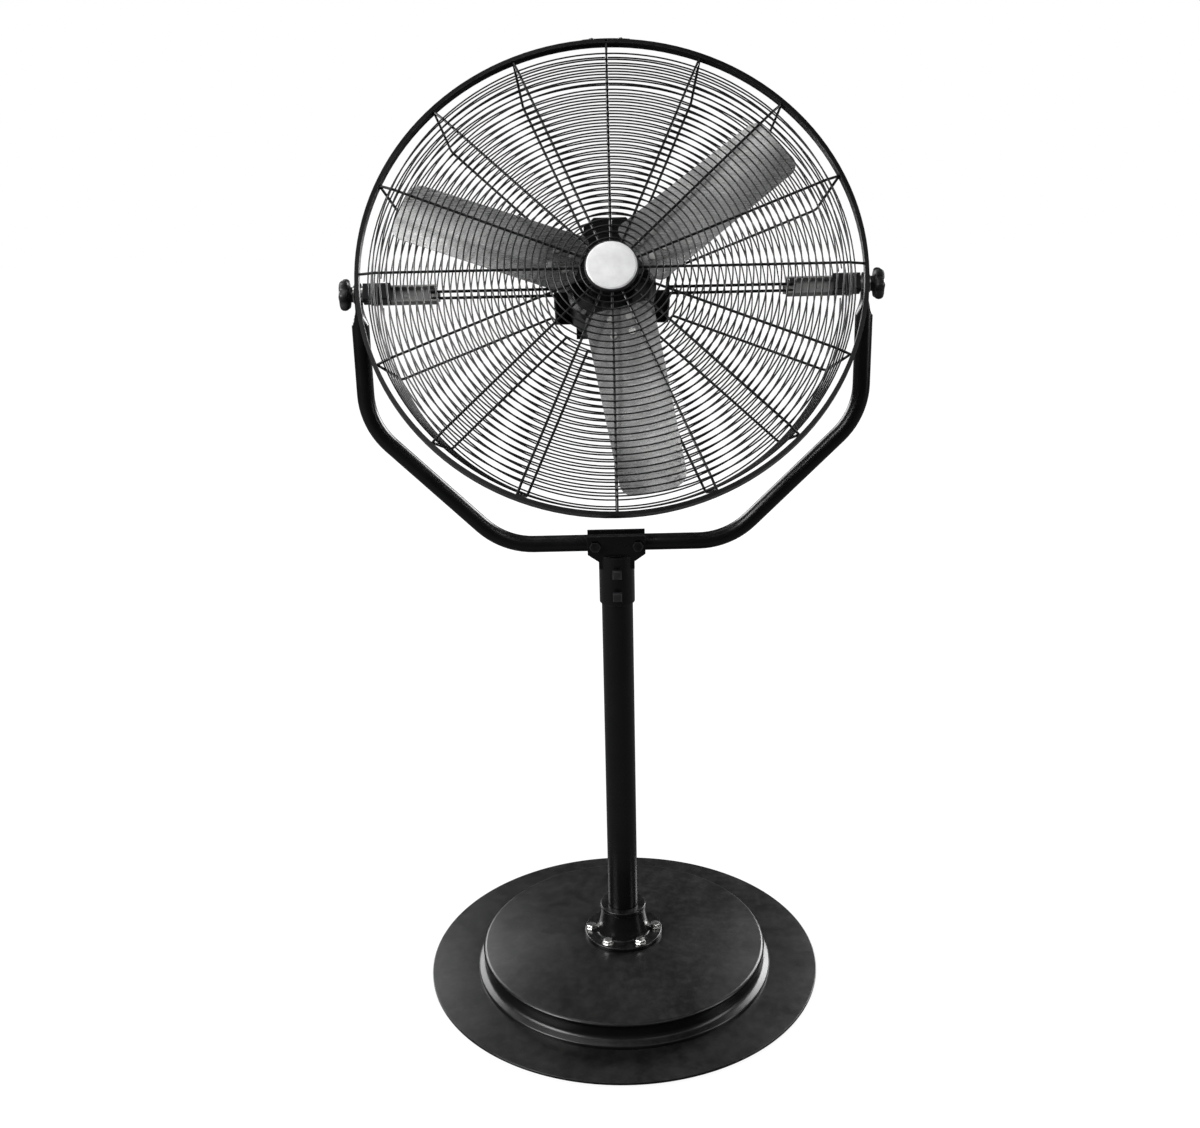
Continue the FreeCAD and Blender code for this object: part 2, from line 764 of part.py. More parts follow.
def saddle_bolts():
    face = "saddle_half_inner + saddle_wall"
    bolts = []
    for side, sign in SIDES:
        across = "%d * saddle_bolt_offset" % sign
        shank = cylinder("saddle_shank_" + side, "saddle_bolt_radius", "(%s) * 2 + m10_head * 2" % face,
                         (across, face + " + m10_head * 2", "cross_height"), X_AXIS, QUARTER)
        head = hexagon("saddle_head_" + side, "m10_flats", "m10_head",
                       (across, "-(%s)" % face, "cross_height"), X_AXIS, QUARTER)
        bolts.append(join("saddle_bolt_" + side, [shank, head]))
        nut = hexagon("saddle_nut_solid_" + side, "m10_flats", "m10_head",
                      (across, face + " + m10_head", "cross_height"), X_AXIS, QUARTER)
        bore = cylinder("saddle_nut_bore_" + side, "saddle_bolt_radius + touch_gap", "m10_head * 3",
                        (across, face + " + m10_head * 2", "cross_height"), X_AXIS, QUARTER)
        bolts.append(cut("saddle_nut_" + side, nut, [bore]))
    return group("saddle_bolt_group", bolts)


# Yoke: a tube bent at four corners, with flattened and drilled ends

def yoke_path(sketch):
    """The tube's centre line from the left end to the right end, as lines and arcs."""
    half = value("yoke_half_width")
    low = -value("yoke_drop")
    corner = value("yoke_corner")
    radius = value("yoke_bend_radius")
    setback = value("bend_setback")
    slope = setback * math.cos(math.radians(value("yoke_bend_angle")))
    end = -value("tab_start") - value("tab_transition")
    base = value("pivot_height")
    left = [(-half, end), (-half, low + corner + setback), (-half + slope, low + corner - slope),
            (-half + corner - slope, low + slope), (-half + corner + setback, low)]
    names = [
        ("yoke_half_width", "pivot_height - tab_start - tab_transition"),
        ("yoke_half_width", "cross_height + yoke_corner + bend_setback"),
        ("yoke_half_width - bend_setback * cos(yoke_bend_angle)",
         "cross_height + yoke_corner - bend_setback * sin(yoke_bend_angle)"),
        ("yoke_half_width - yoke_corner + bend_setback * cos(yoke_bend_angle)",
         "cross_height + bend_setback * sin(yoke_bend_angle)"),
        ("yoke_half_width - yoke_corner - bend_setback", "cross_height"),
    ]
    points = [Vector(x, base + z, 0) for x, z in left]
    points += [Vector(-point.x, point.y, 0) for point in reversed(points)]
    labels = [("-(%s)" % x, z) for x, z in names]
    labels += [(x, z) for x, z in reversed(names)]
    bends = {1, 3, 5, 7}
    for index in range(len(points) - 1):
        first, second = points[index], points[index + 1]
        if index in bends:
            sketch.addGeometry(bend_between(first, second, radius))
        else:
            sketch.addGeometry(Part.LineSegment(first, second))
    ends = [edge_ends(sketch, index, points[index]) for index in range(len(points) - 1)]
    for index in range(len(points) - 2):
        sketch.addConstraint(Sketcher.Constraint("Coincident", index, ends[index][1],
                                                 index + 1, ends[index + 1][0]))
    for index in range(len(points) - 1):
        pin_vertex(sketch, index, ends[index][0], labels[index])
    last = len(points) - 2
    pin_vertex(sketch, last, ends[last][1], labels[-1])
    for index in bends:
        constraint = sketch.addConstraint(Sketcher.Constraint("Radius", index, radius))
        bind(sketch, "Constraints[%d]" % constraint, "yoke_bend_radius")


def bend_between(first, second, radius):
    """The short arc between two points that bulges down, away from the tilt axis."""
    middle = (first + second) * 0.5
    chord = second - first
    normal = Vector(-chord.y, chord.x, 0).normalize()
    if normal.y > 0:
        normal = normal * -1
    half = chord.Length / 2
    sag = radius - math.sqrt(radius * radius - half * half)
    return Part.Arc(first, middle + normal * sag, second)


def edge_ends(sketch, index, first):
    """Which end of an edge is the one nearer the given point, and the other one."""
    start = sketch.getPoint(index, 1)
    stop = sketch.getPoint(index, 2)
    if start.distanceToPoint(first) < stop.distanceToPoint(first):
        return 1, 2
    return 2, 1


def bent_tube(name, radius):
    body = new_body(name)
    path = sketch_on(body, name + "_path", "XZ_Plane")
    yoke_path(path)
    profile = sketch_on(body, name + "_section", "XY_Plane", "pivot_height - tab_start - tab_transition")
    middle = Vector(-value("yoke_half_width"), 0, 0)
    profile.addGeometry(Part.Circle(middle, Z_AXIS, value("yoke_tube_radius")))
    pin_vertex(profile, 0, 3, ("-yoke_half_width", "0"))
    index = profile.addConstraint(Sketcher.Constraint("Radius", 0, value("yoke_tube_radius")))
    bind(profile, "Constraints[%d]" % index, radius)
    pipe = body.newObject("PartDesign::AdditivePipe", name + "_pipe")
    pipe.Profile = profile
    pipe.Spine = path
    return body


def pressed_end(side, sign):
    """The pressed end of the tube on one side, without its hole."""
    half = value("yoke_half_width")
    tube = value("yoke_tube_radius")
    thick = value("tab_thickness") / 2
    wide = value("tab_width") / 2
    flat_level = value("pivot_height") - value("tab_start")
    round_level = flat_level - value("tab_transition")
    centre = Vector(sign * half, 0, round_level)
    diagonal = tube / math.sqrt(2)
    corners = [(diagonal, diagonal), (-diagonal, diagonal), (-diagonal, -diagonal), (diagonal, -diagonal)]
    crests = [(0, tube), (-tube, 0), (0, -tube), (tube, 0)]
    round_edges = []
    for index in range(4):
        first, second = corners[index], corners[(index + 1) % 4]
        round_edges.append(Part.Arc(centre + Vector(first[0], first[1], 0),
                                    centre + Vector(crests[index][0], crests[index][1], 0),
                                    centre + Vector(second[0], second[1], 0)).toShape())
    centre = Vector(sign * half, 0, flat_level)
    end = wide - thick
    marks = [(thick, end), (0, wide), (-thick, end), (-thick, -end), (0, -wide), (thick, -end)]
    spots = [centre + Vector(x, y, 0) for x, y in marks]
    flat_edges = [
        Part.Arc(spots[0], spots[1], spots[2]).toShape(),
        Part.LineSegment(spots[2], spots[3]).toShape(),
        Part.Arc(spots[3], spots[4], spots[5]).toShape(),
        Part.LineSegment(spots[5], spots[0]).toShape(),
    ]
    loft = Part.makeLoft([Part.Wire(round_edges), Part.Wire(flat_edges)], True)
    tab = Part.Face(Part.Wire(flat_edges)).extrude(Vector(0, 0, value("tab_start")))
    crown = Part.makeCylinder(wide, 2 * thick, Vector(sign * half - thick, 0, value("pivot_height")), X_AXIS)
    piece = doc.addObject("Part::Feature", "pressed_end_" + side)
    piece.Shape = loft.fuse([tab, crown]).removeSplitter()
    return piece


def yoke():
    outside = bent_tube("yoke_outside", "yoke_tube_radius")
    inside = bent_tube("yoke_inside", "yoke_tube_radius - yoke_tube_wall")
    tube = cut("yoke_tube", outside, [inside])
    whole = join("yoke_solid", [tube] + [pressed_end(side, sign) for side, sign in SIDES])
    holes = []
    for side, sign in SIDES:
        across = "%d * yoke_half_width - tab_thickness / 2 - overrun" % sign
        holes.append(cylinder("stud_hole_" + side, "stud_radius + running_gap", "tab_thickness + overrun * 2",
                              (across, "0", "pivot_height"), Y_AXIS, QUARTER))
        across = "%d * saddle_bolt_offset" % sign
        holes.append(cylinder("cross_hole_" + side, "saddle_bolt_radius + bolt_hole_gap",
                              "yoke_tube_radius * 2 + overrun * 2",
                              (across, "yoke_tube_radius + overrun", "cross_height"), X_AXIS, QUARTER))
    return cut("yoke_drilled", whole, holes)


def along_axis(name, sign, radius, start, length, level="pivot_height"):
    """A round piece on the tilt axis, from start outwards, on one side of the fan."""
    piece = cylinder(name, radius, length, ("%d * (%s)" % (sign, start), "0", level), Y_AXIS, sign * QUARTER)
    return piece


def ring_on_axis(name, sign, radius, start, length, level="pivot_height"):
    disc = along_axis(name + "_disc", sign, radius, start, length, level)
    bore = along_axis(name + "_bore", sign, "stud_radius + running_gap",
                      "(%s) - overrun" % start, "(%s) + overrun * 2" % length, level)
    return cut(name, disc, [bore])


def knob_washers():
    rings = [ring_on_axis("knob_washer_" + side, sign, "knob_washer_radius", "tab_outer", "knob_washer")
             for side, sign in SIDES]
    return group("knob_washer_group", rings)


# Hand knobs with their studs, level at the tilt axis

def knob(side, sign):
    base = "knob_inner + knob_boss_height"
    boss = along_axis("knob_boss_" + side, sign, "knob_boss_radius", "knob_inner", "knob_boss_height", "0")
    core = along_axis("knob_core_" + side, sign, "knob_core_radius", base, "knob_star_height", "0")

    def lobe(name):
        return cylinder(name, "knob_lobe_radius", "knob_star_height",
                        ("%d * (%s)" % (sign, base), "0", "knob_lobe_circle"), Y_AXIS, sign * QUARTER)
    lobes = copies_round("knob_lobe_" + side, lobe, KNOB_LOBE_COUNT, X_AXIS)
    star = join("knob_star_" + side, [core] + lobes)
    doc.recompute()
    rounded = doc.addObject("Part::Fillet", "knob_rounded_" + side)
    rounded.Base = star
    outer = value("knob_inner") + value("knob_boss_height") + value("knob_star_height")
    edges = []
    for index, edge in enumerate(star.Shape.Edges):
        reach = abs(edge.BoundBox.Center.x)
        flat = edge.BoundBox.XLength < value("touch_gap")
        if flat and near(reach, outer):
            edges.append((index + 1, value("knob_edge"), value("knob_edge")))
    rounded.Edges = edges
    solid = join("knob_solid_" + side, [boss, rounded])
    bore = along_axis("knob_bore_" + side, sign, "stud_radius", "knob_inner - overrun",
                      "stud_in_knob + overrun", "0")
    return cut("knob_piece_" + side, solid, [bore])


def stud(side, sign):
    start = "block_outer - stud_in_block"
    return along_axis("stud_piece_" + side, sign, "stud_radius", start,
                      "knob_inner + stud_in_knob - (%s)" % start, "0")


# Blocks inside the guard that the studs screw into

def pivot_block(side, sign):
    left = "block_inner" if sign > 0 else "-block_outer"
    solid = box("block_solid_" + side, ("block_length", "block_front + block_back", "block_height"),
                (left, "-block_front", "-block_height / 2"))
    doc.recompute()
    rounded = doc.addObject("Part::Chamfer", "block_rounded_" + side)
    rounded.Base = solid
    edge_size = value("block_edge")
    rounded.Edges = [(index + 1, edge_size, edge_size) for index, edge in enumerate(solid.Shape.Edges)
                     if near(edge.Length, value("block_length"))]
    bore = along_axis("block_bore_" + side, sign, "stud_radius + running_gap",
                      "block_outer - stud_in_block - overrun", "stud_in_block + overrun * 2", "0")
    holes = [bore] + [block_bolt_hole("block_hole_%s_%d" % (side, index), sign, rise)
                      for index, rise in enumerate((-1, 1))]
    return cut("block_" + side, rounded, holes)


def block_bolt_hole(name, sign, rise):
    return cylinder(name, "block_bolt_radius + touch_gap", "block_bolt_depth + channel_wall + overrun",
                    ("%d * (block_outer - block_bolt_from_end)" % sign, "channel_back + overrun",
                     "%d * block_bolt_rise" % rise), X_AXIS, QUARTER)


def block_bolts():
    bolts = []
    for side, sign in SIDES:
        for index, rise in enumerate((-1, 1)):
            tag = "%s_%d" % (side, index + 1)
            across = "%d * (block_outer - block_bolt_from_end)" % sign
            shank = cylinder("block_shank_" + tag, "block_bolt_radius", "block_bolt_depth + channel_wall",
                             (across, "channel_back", "%d * block_bolt_rise" % rise), X_AXIS, QUARTER)
            head = hexagon("block_head_" + tag, "m6_flats", "m6_head",
                           (across, "channel_back + m6_head", "%d * block_bolt_rise" % rise), X_AXIS, QUARTER)
            bolts.append(join("block_bolt_" + tag, [shank, head]))
    return group("block_bolt_group", bolts)


def pivot_washers():
    rings = [ring_on_axis("pivot_washer_" + side, sign, "friction_washer_radius", "block_outer",
                          "friction_washer", "0") for side, sign in SIDES]
    return group("pivot_washer_group", rings)


# Pressed channel: open to the front, with its back carried on behind the block

def channel(side, sign):
    def low(start, length):
        return start if sign > 0 else "-(%s) - (%s)" % (start, length)
    outside = box("channel_outside_" + side,
                  ("channel_length", "channel_front + channel_back", "block_height"),
                  (low("channel_inner_end", "channel_length"), "-channel_front", "-block_height / 2"))
    hollow = box("channel_hollow_" + side,
                 ("channel_length + overrun * 2", "channel_front + block_back + overrun",
                  "block_height - channel_wall * 2"),
                 (low("channel_inner_end - overrun", "channel_length + overrun * 2"),
                  "-channel_front - overrun", "-block_height / 2 + channel_wall"))
    tail_start = "channel_inner_end + channel_length"
    tail = box("channel_tail_" + side, ("channel_tail", "channel_wall", "block_height"),
               (low(tail_start, "channel_tail"), "block_back", "-block_height / 2"))
    holes = [block_bolt_hole("channel_hole_%s_%d" % (side, index), sign, rise)
             for index, rise in enumerate((-1, 1))]
    for index, ring in enumerate(("clip_first_ring", "clip_second_ring")):
        tag = "%s_%d" % (side, index + 1)
        holes.append(cylinder("channel_clip_hole_" + tag, "guard_screw_radius + touch_gap",
                              "channel_wall + overrun * 2",
                              ("%d * (%s)" % (sign, clip_place(ring)), "channel_back + overrun", "0"),
                              X_AXIS, QUARTER))
    shaped = cut("channel_shaped_" + side, outside, [hollow])
    return cut("channel_piece_" + side, join("channel_solid_" + side, [shaped, tail]), holes)


def support_rods():
    rods = []
    for side, sign in SIDES:
        for index, rise in enumerate((-1, 1)):
            rods.append(cylinder("rod_%s_%d" % (side, index + 1), "rod_radius",
                                 "channel_inner_end + rod_in_channel - cradle_half_width",
                                 ("%d * cradle_half_width" % sign, "block_back - rod_radius - touch_gap",
                                  "%d * rod_rise" % rise), Y_AXIS, sign * QUARTER))
    return group("rod_group", rods)


# Motor: shell, two bells, stator, rotor, shaft, bearings and long bolts

def motor_shell():
    outside = cylinder("shell_outside", "motor_radius", "motor_back - motor_front - bell_skirt * 2",
                       ("0", "motor_back - bell_skirt", "0"), X_AXIS, QUARTER)
    inside = cylinder("shell_inside", "motor_radius - motor_wall", "motor_back - motor_front",
                      ("0", "motor_back - overrun", "0"), X_AXIS, QUARTER)
    return cut("shell", outside, [inside])


def motor_bell(name, face, inwards):
    """A dished end bell with a cup for the bearing; inwards is + for the front and - for the back."""
    def depth(text):
        return "%s %s (%s)" % (face, inwards, text)
    spots = [
        ("bearing_lip_radius", face),
        ("bell_hub_radius - bell_hub_step", face),
        ("bell_hub_radius", depth("bell_hub_step")),
        ("motor_radius - bell_crown", depth("bell_crown")),
        ("motor_radius", depth("bell_shoulder")),
        ("motor_radius", depth("bell_skirt")),
        ("motor_radius - motor_wall", depth("bell_skirt")),
        ("motor_radius - motor_wall", depth("bell_shoulder + bell_plate / 2")),
        ("motor_radius - bell_crown - bell_plate / 2", depth("bell_crown + bell_plate")),
        ("bell_hub_radius", depth("bell_hub_step + bell_plate")),
        ("bearing_radius + bearing_cup_wall", depth("bearing_lip + bearing_width")),
        ("bearing_radius", depth("bearing_lip + bearing_width")),
        ("bearing_radius", depth("bearing_lip")),
        ("bearing_lip_radius", depth("bearing_lip")),
    ]
    body = turned(name + "_body", "XY_Plane", spots)
    holes = copies_round(name + "_hole", motor_bolt_hole, MOTOR_BOLT_COUNT, Y_AXIS, BOLT_START)
    return cut(name + "_drilled", body, holes)


def motor_bolt_hole(name):
    return cylinder(name, "motor_bolt_radius + touch_gap", "motor_back - motor_front + cradle_wall * 4",
                    ("motor_bolt_circle", "motor_back + cradle_wall * 2", "0"), X_AXIS, QUARTER)


def motor_bolts():
    nut_end = "motor_back + cradle_wall + motor_nut"
    end = nut_end + " + motor_bolt_end"

    def one(name):
        shank = cylinder(name + "_shank", "motor_bolt_radius", end + " - bolt_seat",
                         ("motor_bolt_circle", end, "0"), X_AXIS, QUARTER)
        head = cylinder(name + "_head", "motor_bolt_head", "motor_bolt_head_height",
                        ("motor_bolt_circle", "bolt_seat", "0"), X_AXIS, QUARTER)
        nut = hexagon(name + "_nut", "motor_bolt_head * 2", "motor_nut",
                      ("motor_bolt_circle", nut_end, "0"), X_AXIS, QUARTER)
        return join(name, [shank, head, nut])
    copies = copies_round("motor_bolt", one, MOTOR_BOLT_COUNT, Y_AXIS, BOLT_START)
    return group("motor_bolt_group", copies)


def stator_core():
    outside = cylinder("stator_outside", "motor_radius - motor_wall - touch_gap", "stator_length",
                       ("0", "motor_middle + stator_length / 2", "0"), X_AXIS, QUARTER)
    inside = cylinder("stator_inside", "stator_inner", "stator_length + overrun * 2",
                      ("0", "motor_middle + stator_length / 2 + overrun", "0"), X_AXIS, QUARTER)
    holes = copies_round("stator_hole", motor_bolt_hole, MOTOR_BOLT_COUNT, Y_AXIS, BOLT_START)
    return cut("stator", outside, [inside] + holes)


def stator_windings():
    reach = "stator_length / 2 + winding_radius + touch_gap"
    rings = [torus("winding_front", "winding_circle", "winding_radius", "motor_middle - (%s)" % reach),
             torus("winding_back", "winding_circle", "winding_radius", "motor_middle + %s" % reach)]
    return group("winding_group", rings)


def motor_bearings():
    rings = []
    for name, end in (("front", "motor_front + bearing_lip + bearing_width"),
                      ("back", "motor_back - bearing_lip")):
        disc = cylinder("bearing_disc_" + name, "bearing_radius", "bearing_width", ("0", end, "0"),
                        X_AXIS, QUARTER)
        bore = cylinder("bearing_bore_" + name, "shaft_radius + touch_gap", "bearing_width + overrun * 2",
                        ("0", end + " + overrun", "0"), X_AXIS, QUARTER)
        rings.append(cut("bearing_" + name, disc, [bore]))
    return group("bearing_group", rings)


def motor_shaft():
    end = "motor_back - bearing_lip"
    return cylinder("shaft", "shaft_radius", "%s - shaft_front" % end, ("0", end, "0"), X_AXIS, QUARTER)


def rotor_core():
    end = "motor_middle + stator_length / 2"
    outside = cylinder("rotor_outside", "stator_inner - air_gap", "stator_length", ("0", end, "0"),
                       X_AXIS, QUARTER)
    inside = cylinder("rotor_inside", "shaft_radius", "stator_length + overrun * 2",
                      ("0", end + " + overrun", "0"), X_AXIS, QUARTER)
    return cut("rotor", outside, [inside])


# Bent bracket: a plate behind the motor with an arm forward on each side

def motor_cradle():
    back = box("cradle_back", ("cradle_half_width * 2", "cradle_wall", "cradle_half_height * 2"),
               ("-cradle_half_width", "motor_back", "-cradle_half_height"))
    middle = box("cradle_middle",
                 ("cradle_plate_half_width * 2", "cradle_wall", "cradle_plate_half_height * 2"),
                 ("-cradle_plate_half_width", "motor_back", "-cradle_plate_half_height"))
    arms = []
    for side, sign in SIDES:
        corner = "cradle_half_width - cradle_wall" if sign > 0 else "-cradle_half_width"
        arms.append(box("cradle_arm_" + side,
                        ("cradle_wall", "motor_back + cradle_wall - cradle_front", "cradle_half_height * 2"),
                        (corner, "cradle_front", "-cradle_half_height")))
    solid = join("cradle_solid", [back, middle] + arms)
    holes = copies_round("cradle_hole", motor_bolt_hole, MOTOR_BOLT_COUNT, Y_AXIS, BOLT_START)
    opening = cylinder("cradle_opening", "bell_hub_radius", "cradle_wall + overrun * 2",
                       ("0", "motor_back + cradle_wall + overrun", "0"), X_AXIS, QUARTER)
    return cut("cradle", solid, holes + [opening])


# Switch box with cut top corners, its lid at the back and what is in it

def box_outline(inset):
    corner = "(box_corner - (%s) / 2)" % inset
    return [
        ("-box_half_width + (%s)" % inset, "box_floor - box_wall + (%s)" % inset),
        ("box_half_width - (%s)" % inset, "box_floor - box_wall + (%s)" % inset),
        ("box_half_width - (%s)" % inset, "box_top - %s - (%s)" % (corner, inset)),
        ("box_half_width - %s - (%s)" % (corner, inset), "box_top - (%s)" % inset),
        ("-box_half_width + %s + (%s)" % (corner, inset), "box_top - (%s)" % inset),
        ("-box_half_width + (%s)" % inset, "box_top - %s - (%s)" % (corner, inset)),
    ]


def switch_box():
    back = "-box_front - box_depth"
    body = plate("box_solid", "XZ_Plane", box_outline("0"), "box_depth", back)
    inside = plate("box_inside", "XZ_Plane", box_outline("box_wall"), "box_depth", back + " - box_wall")
    foot = box("box_foot", ("box_half_width * 2", "box_depth", "box_floor"),
               ("-box_half_width", "box_front", "0"))
    round_motor = cylinder("box_saddle", "motor_radius + touch_gap", "box_depth + overrun * 2",
                           ("0", "box_front + box_depth + overrun", "0"), X_AXIS, QUARTER)
    below = box("box_below",
                ("box_half_width * 2 + overrun * 2", "box_depth + overrun * 2",
                 "motor_radius * box_foot_share"),
                ("-box_half_width - overrun", "box_front - overrun", "0"))
    gland_hole = cylinder("gland_hole", "gland_radius", "box_wall + overrun * 2",
                          ("-box_half_width - overrun", "gland_depth", "gland_level"), Y_AXIS, QUARTER)
    solid = join("box_joined", [body, foot])
    holes = [inside, round_motor, below, gland_hole]
    for index, spot in enumerate(lid_screw_spots()):
        holes.append(cylinder("box_post_hole_%d" % (index + 1), "lid_screw_radius", "lid_screw_length",
                              (spot[0], "box_front + box_depth", spot[1]), X_AXIS, QUARTER))
    posts = [cylinder("box_post_%d" % (index + 1), "lid_screw_inset - box_wall / 2", "lid_post_length",
                      (spot[0], "box_front + box_depth", spot[1]), X_AXIS, QUARTER)
             for index, spot in enumerate(lid_screw_spots())]
    shell = cut("box_shell", solid, holes[:4])
    return cut("box_piece", join("box_with_posts", [shell] + posts), holes[4:])


def lid_screw_spots():
    side = "box_half_width - lid_screw_inset"
    low = "box_floor - box_wall + lid_screw_inset"
    high = "box_top - box_corner - lid_screw_inset / 2"
    return [("-(%s)" % side, low), (side, low), ("-(%s)" % side, high), (side, high)]


def box_lid():
    body = plate("lid_plate", "XZ_Plane", box_outline("0"), "lid_thickness",
                 "-box_front - box_depth - lid_thickness")
    holes = [cylinder("lid_hole_%d" % (index + 1), "lid_screw_radius + touch_gap",
                      "lid_thickness + overrun * 2",
                      (spot[0], "box_front + box_depth + lid_thickness + overrun", spot[1]),
                      X_AXIS, QUARTER)
             for index, spot in enumerate(lid_screw_spots())]
    holes.append(cylinder("lid_stem_hole", "switch_stem_radius + seat_gap", "lid_thickness + overrun * 2",
                          ("switch_side", "box_front + box_depth + lid_thickness + overrun", "switch_level"),
                          X_AXIS, QUARTER))
    return cut("lid", body, holes)


def lid_screws():
    screws = []
    for index, spot in enumerate(lid_screw_spots()):
        tag = str(index + 1)
        face = "box_front + box_depth + lid_thickness"
        shank = cylinder("lid_shank_" + tag, "lid_screw_radius", "lid_screw_length + lid_thickness - overrun",
                         (spot[0], face, spot[1]), X_AXIS, QUARTER)
        head = cylinder("lid_head_" + tag, "lid_screw_head", "lid_screw_head_height",
                        (spot[0], face + " + lid_screw_head_height", spot[1]), X_AXIS, QUARTER)
        screws.append(join("lid_screw_" + tag, [shank, head]))
    return group("lid_screw_group", screws)


def run_capacitor():
    return cylinder("capacitor", "capacitor_radius", "capacitor_length",
                    ("capacitor_side", "box_front + box_wall + touch_gap + capacitor_length",
                     "box_floor + capacitor_radius + touch_gap"), X_AXIS, QUARTER)


def speed_switch():
    inner = "box_front + box_depth - touch_gap"
    case = box("switch_case", ("switch_width", "switch_depth", "switch_width"),
               ("switch_side - switch_width / 2", inner + " - switch_depth",
                "switch_level - switch_width / 2"))
    bore = cylinder("switch_bore", "switch_stem_radius + running_gap", "switch_depth / 2 + overrun",
                    ("switch_side", inner + " + overrun", "switch_level"), X_AXIS, QUARTER)
    return cut("switch", case, [bore])


def speed_knob():
    face = "box_front + box_depth + lid_thickness + seat_gap"
    grip = cylinder("speed_grip", "speed_knob_radius", "speed_knob_height",
                    ("switch_side", face + " + speed_knob_height", "switch_level"), X_AXIS, QUARTER)
    pointer = box("speed_pointer", ("speed_knob_pointer", "speed_knob_pointer", "speed_knob_radius * 2"),
                  ("switch_side - speed_knob_pointer / 2", face + " + speed_knob_height",
                   "switch_level - speed_knob_radius"))
    stem = cylinder("speed_stem", "switch_stem_radius", "switch_depth / 2 + lid_thickness",
                    ("switch_side", face, "switch_level"), X_AXIS, QUARTER)
    return join("speed_knob_solid", [grip, pointer, stem])


def cord_gland():
    start = "-box_half_width"
    tube = cylinder("gland_tube", "gland_radius - touch_gap", "gland_length + box_wall",
                    (start + " + box_wall", "gland_depth", "gland_level"), Y_AXIS, -QUARTER)
    nut = hexagon("gland_nut_solid", "gland_nut_flats", "gland_nut",
                  (start, "gland_depth", "gland_level"), Y_AXIS, -QUARTER)
    bore = cylinder("gland_bore_tool", "gland_bore", "gland_length + box_wall + overrun * 2",
                    (start + " + box_wall + overrun", "gland_depth", "gland_level"), Y_AXIS, -QUARTER)
    return cut("gland", join("gland_solid", [tube, nut]), [bore])


# Guards: welded wire rings on bent spokes

def bent_spoke(name, spots, bend_radius, section_plane):
    """One spoke that points up: a straight run, a bend and a second run, in the fan's side view."""
    body = new_body(name)
    path = sketch_on(body, name + "_path", "YZ_Plane")
    first, corner, last = [Vector(number(y), number(z), 0) for y, z in spots]
    inwards = (first - corner).normalize()
    outwards = (last - corner).normalize()
    turn = math.acos(inwards.dot(outwards))
    setback = bend_radius / math.tan(turn / 2)
    start = corner + inwards * setback
    stop = corner + outwards * setback
    bisector = (inwards + outwards).normalize()
    middle = corner + bisector * (bend_radius / math.sin(turn / 2) - bend_radius)
    path.addGeometry(Part.LineSegment(first, start))
    path.addGeometry(Part.Arc(start, middle, stop))
    path.addGeometry(Part.LineSegment(stop, last))
    profile = sketch_on(body, name + "_section", "XY_Plane", section_plane)
    profile.addGeometry(Part.Circle(Vector(0, first.x, 0), Z_AXIS, value("spoke_radius")))
    pin_vertex(profile, 0, 3, ("0", spots[0][0]))
    index = profile.addConstraint(Sketcher.Constraint("Radius", 0, value("spoke_radius")))
    bind(profile, "Constraints[%d]" % index, "spoke_radius")
    pipe = body.newObject("PartDesign::AdditivePipe", name + "_pipe")
    pipe.Profile = profile
    pipe.Spine = path
    return body


def number(text):
    """The value of a size, or of its opposite."""
    return -value(text[1:]) if text.startswith("-") else value(text)


def spread_spokes(name, body, skipped):
    """Turned copies of a spoke round the fan's axis, without the skipped positions."""
    doc.recompute()
    count = round(FULL_TURN / value("spoke_angle"))
    spokes = []
    for index in range(count):
        if index in skipped:
            continue
        copy = doc.addObject("Part::Feature", "%s_%d" % (name, index + 1))
        copy.Shape = body.Shape.copy()
        copy.Placement = Placement(Vector(), Rotation(Y_AXIS, index * value("spoke_angle")))
        spokes.append(copy)
    return spokes


def face_ring(index):
    return torus("face_ring_%d" % (index + 1), "face_first + %d * face_pitch" % index,
                 "wire_radius", "face_depth")


def front_inner_rings():
    """The rings of the front guard from its middle outwards."""
    count = round(value("face_inner_rings"))
    return group("face_inner_group", [face_ring(index) for index in range(count)])


def front_guard():
    """The spokes of the front guard with its outer rings and its hoop."""
    first, last = round(value("face_inner_rings")), round(value("face_rings"))
    rings = [face_ring(index) for index in range(first, last)]
    hoop = torus("face_hoop", "hoop_circle", "hoop_radius", "front_hoop")
    spots = [("face_spokes", "spoke_start"), ("face_spokes", "face_bend_start"),
             ("front_hoop", "face_spoke_end")]
    spoke = bent_spoke("face_spoke", spots, value("spoke_bend_radius"), "spoke_start")
    return group("face_group", rings + [hoop] + spread_spokes("face_spoke_copy", spoke, ()))


def back_ring(index):
    return torus("back_ring_%d" % (index + 1), "back_first + %d * back_pitch" % index,
                 "wire_radius", "back_depth")


def rear_inner_rings():
    """The rings of the rear guard from its middle outwards."""
    count = round(value("back_inner_rings"))
    return group("back_inner_group", [back_ring(index) for index in range(count)])


def wall_circle(depth):
    """Radius of a wall ring that lies inside the spokes at a depth."""
    return "back_corner + wall_slope * (back_spokes - (%s)) - wall_inset" % depth


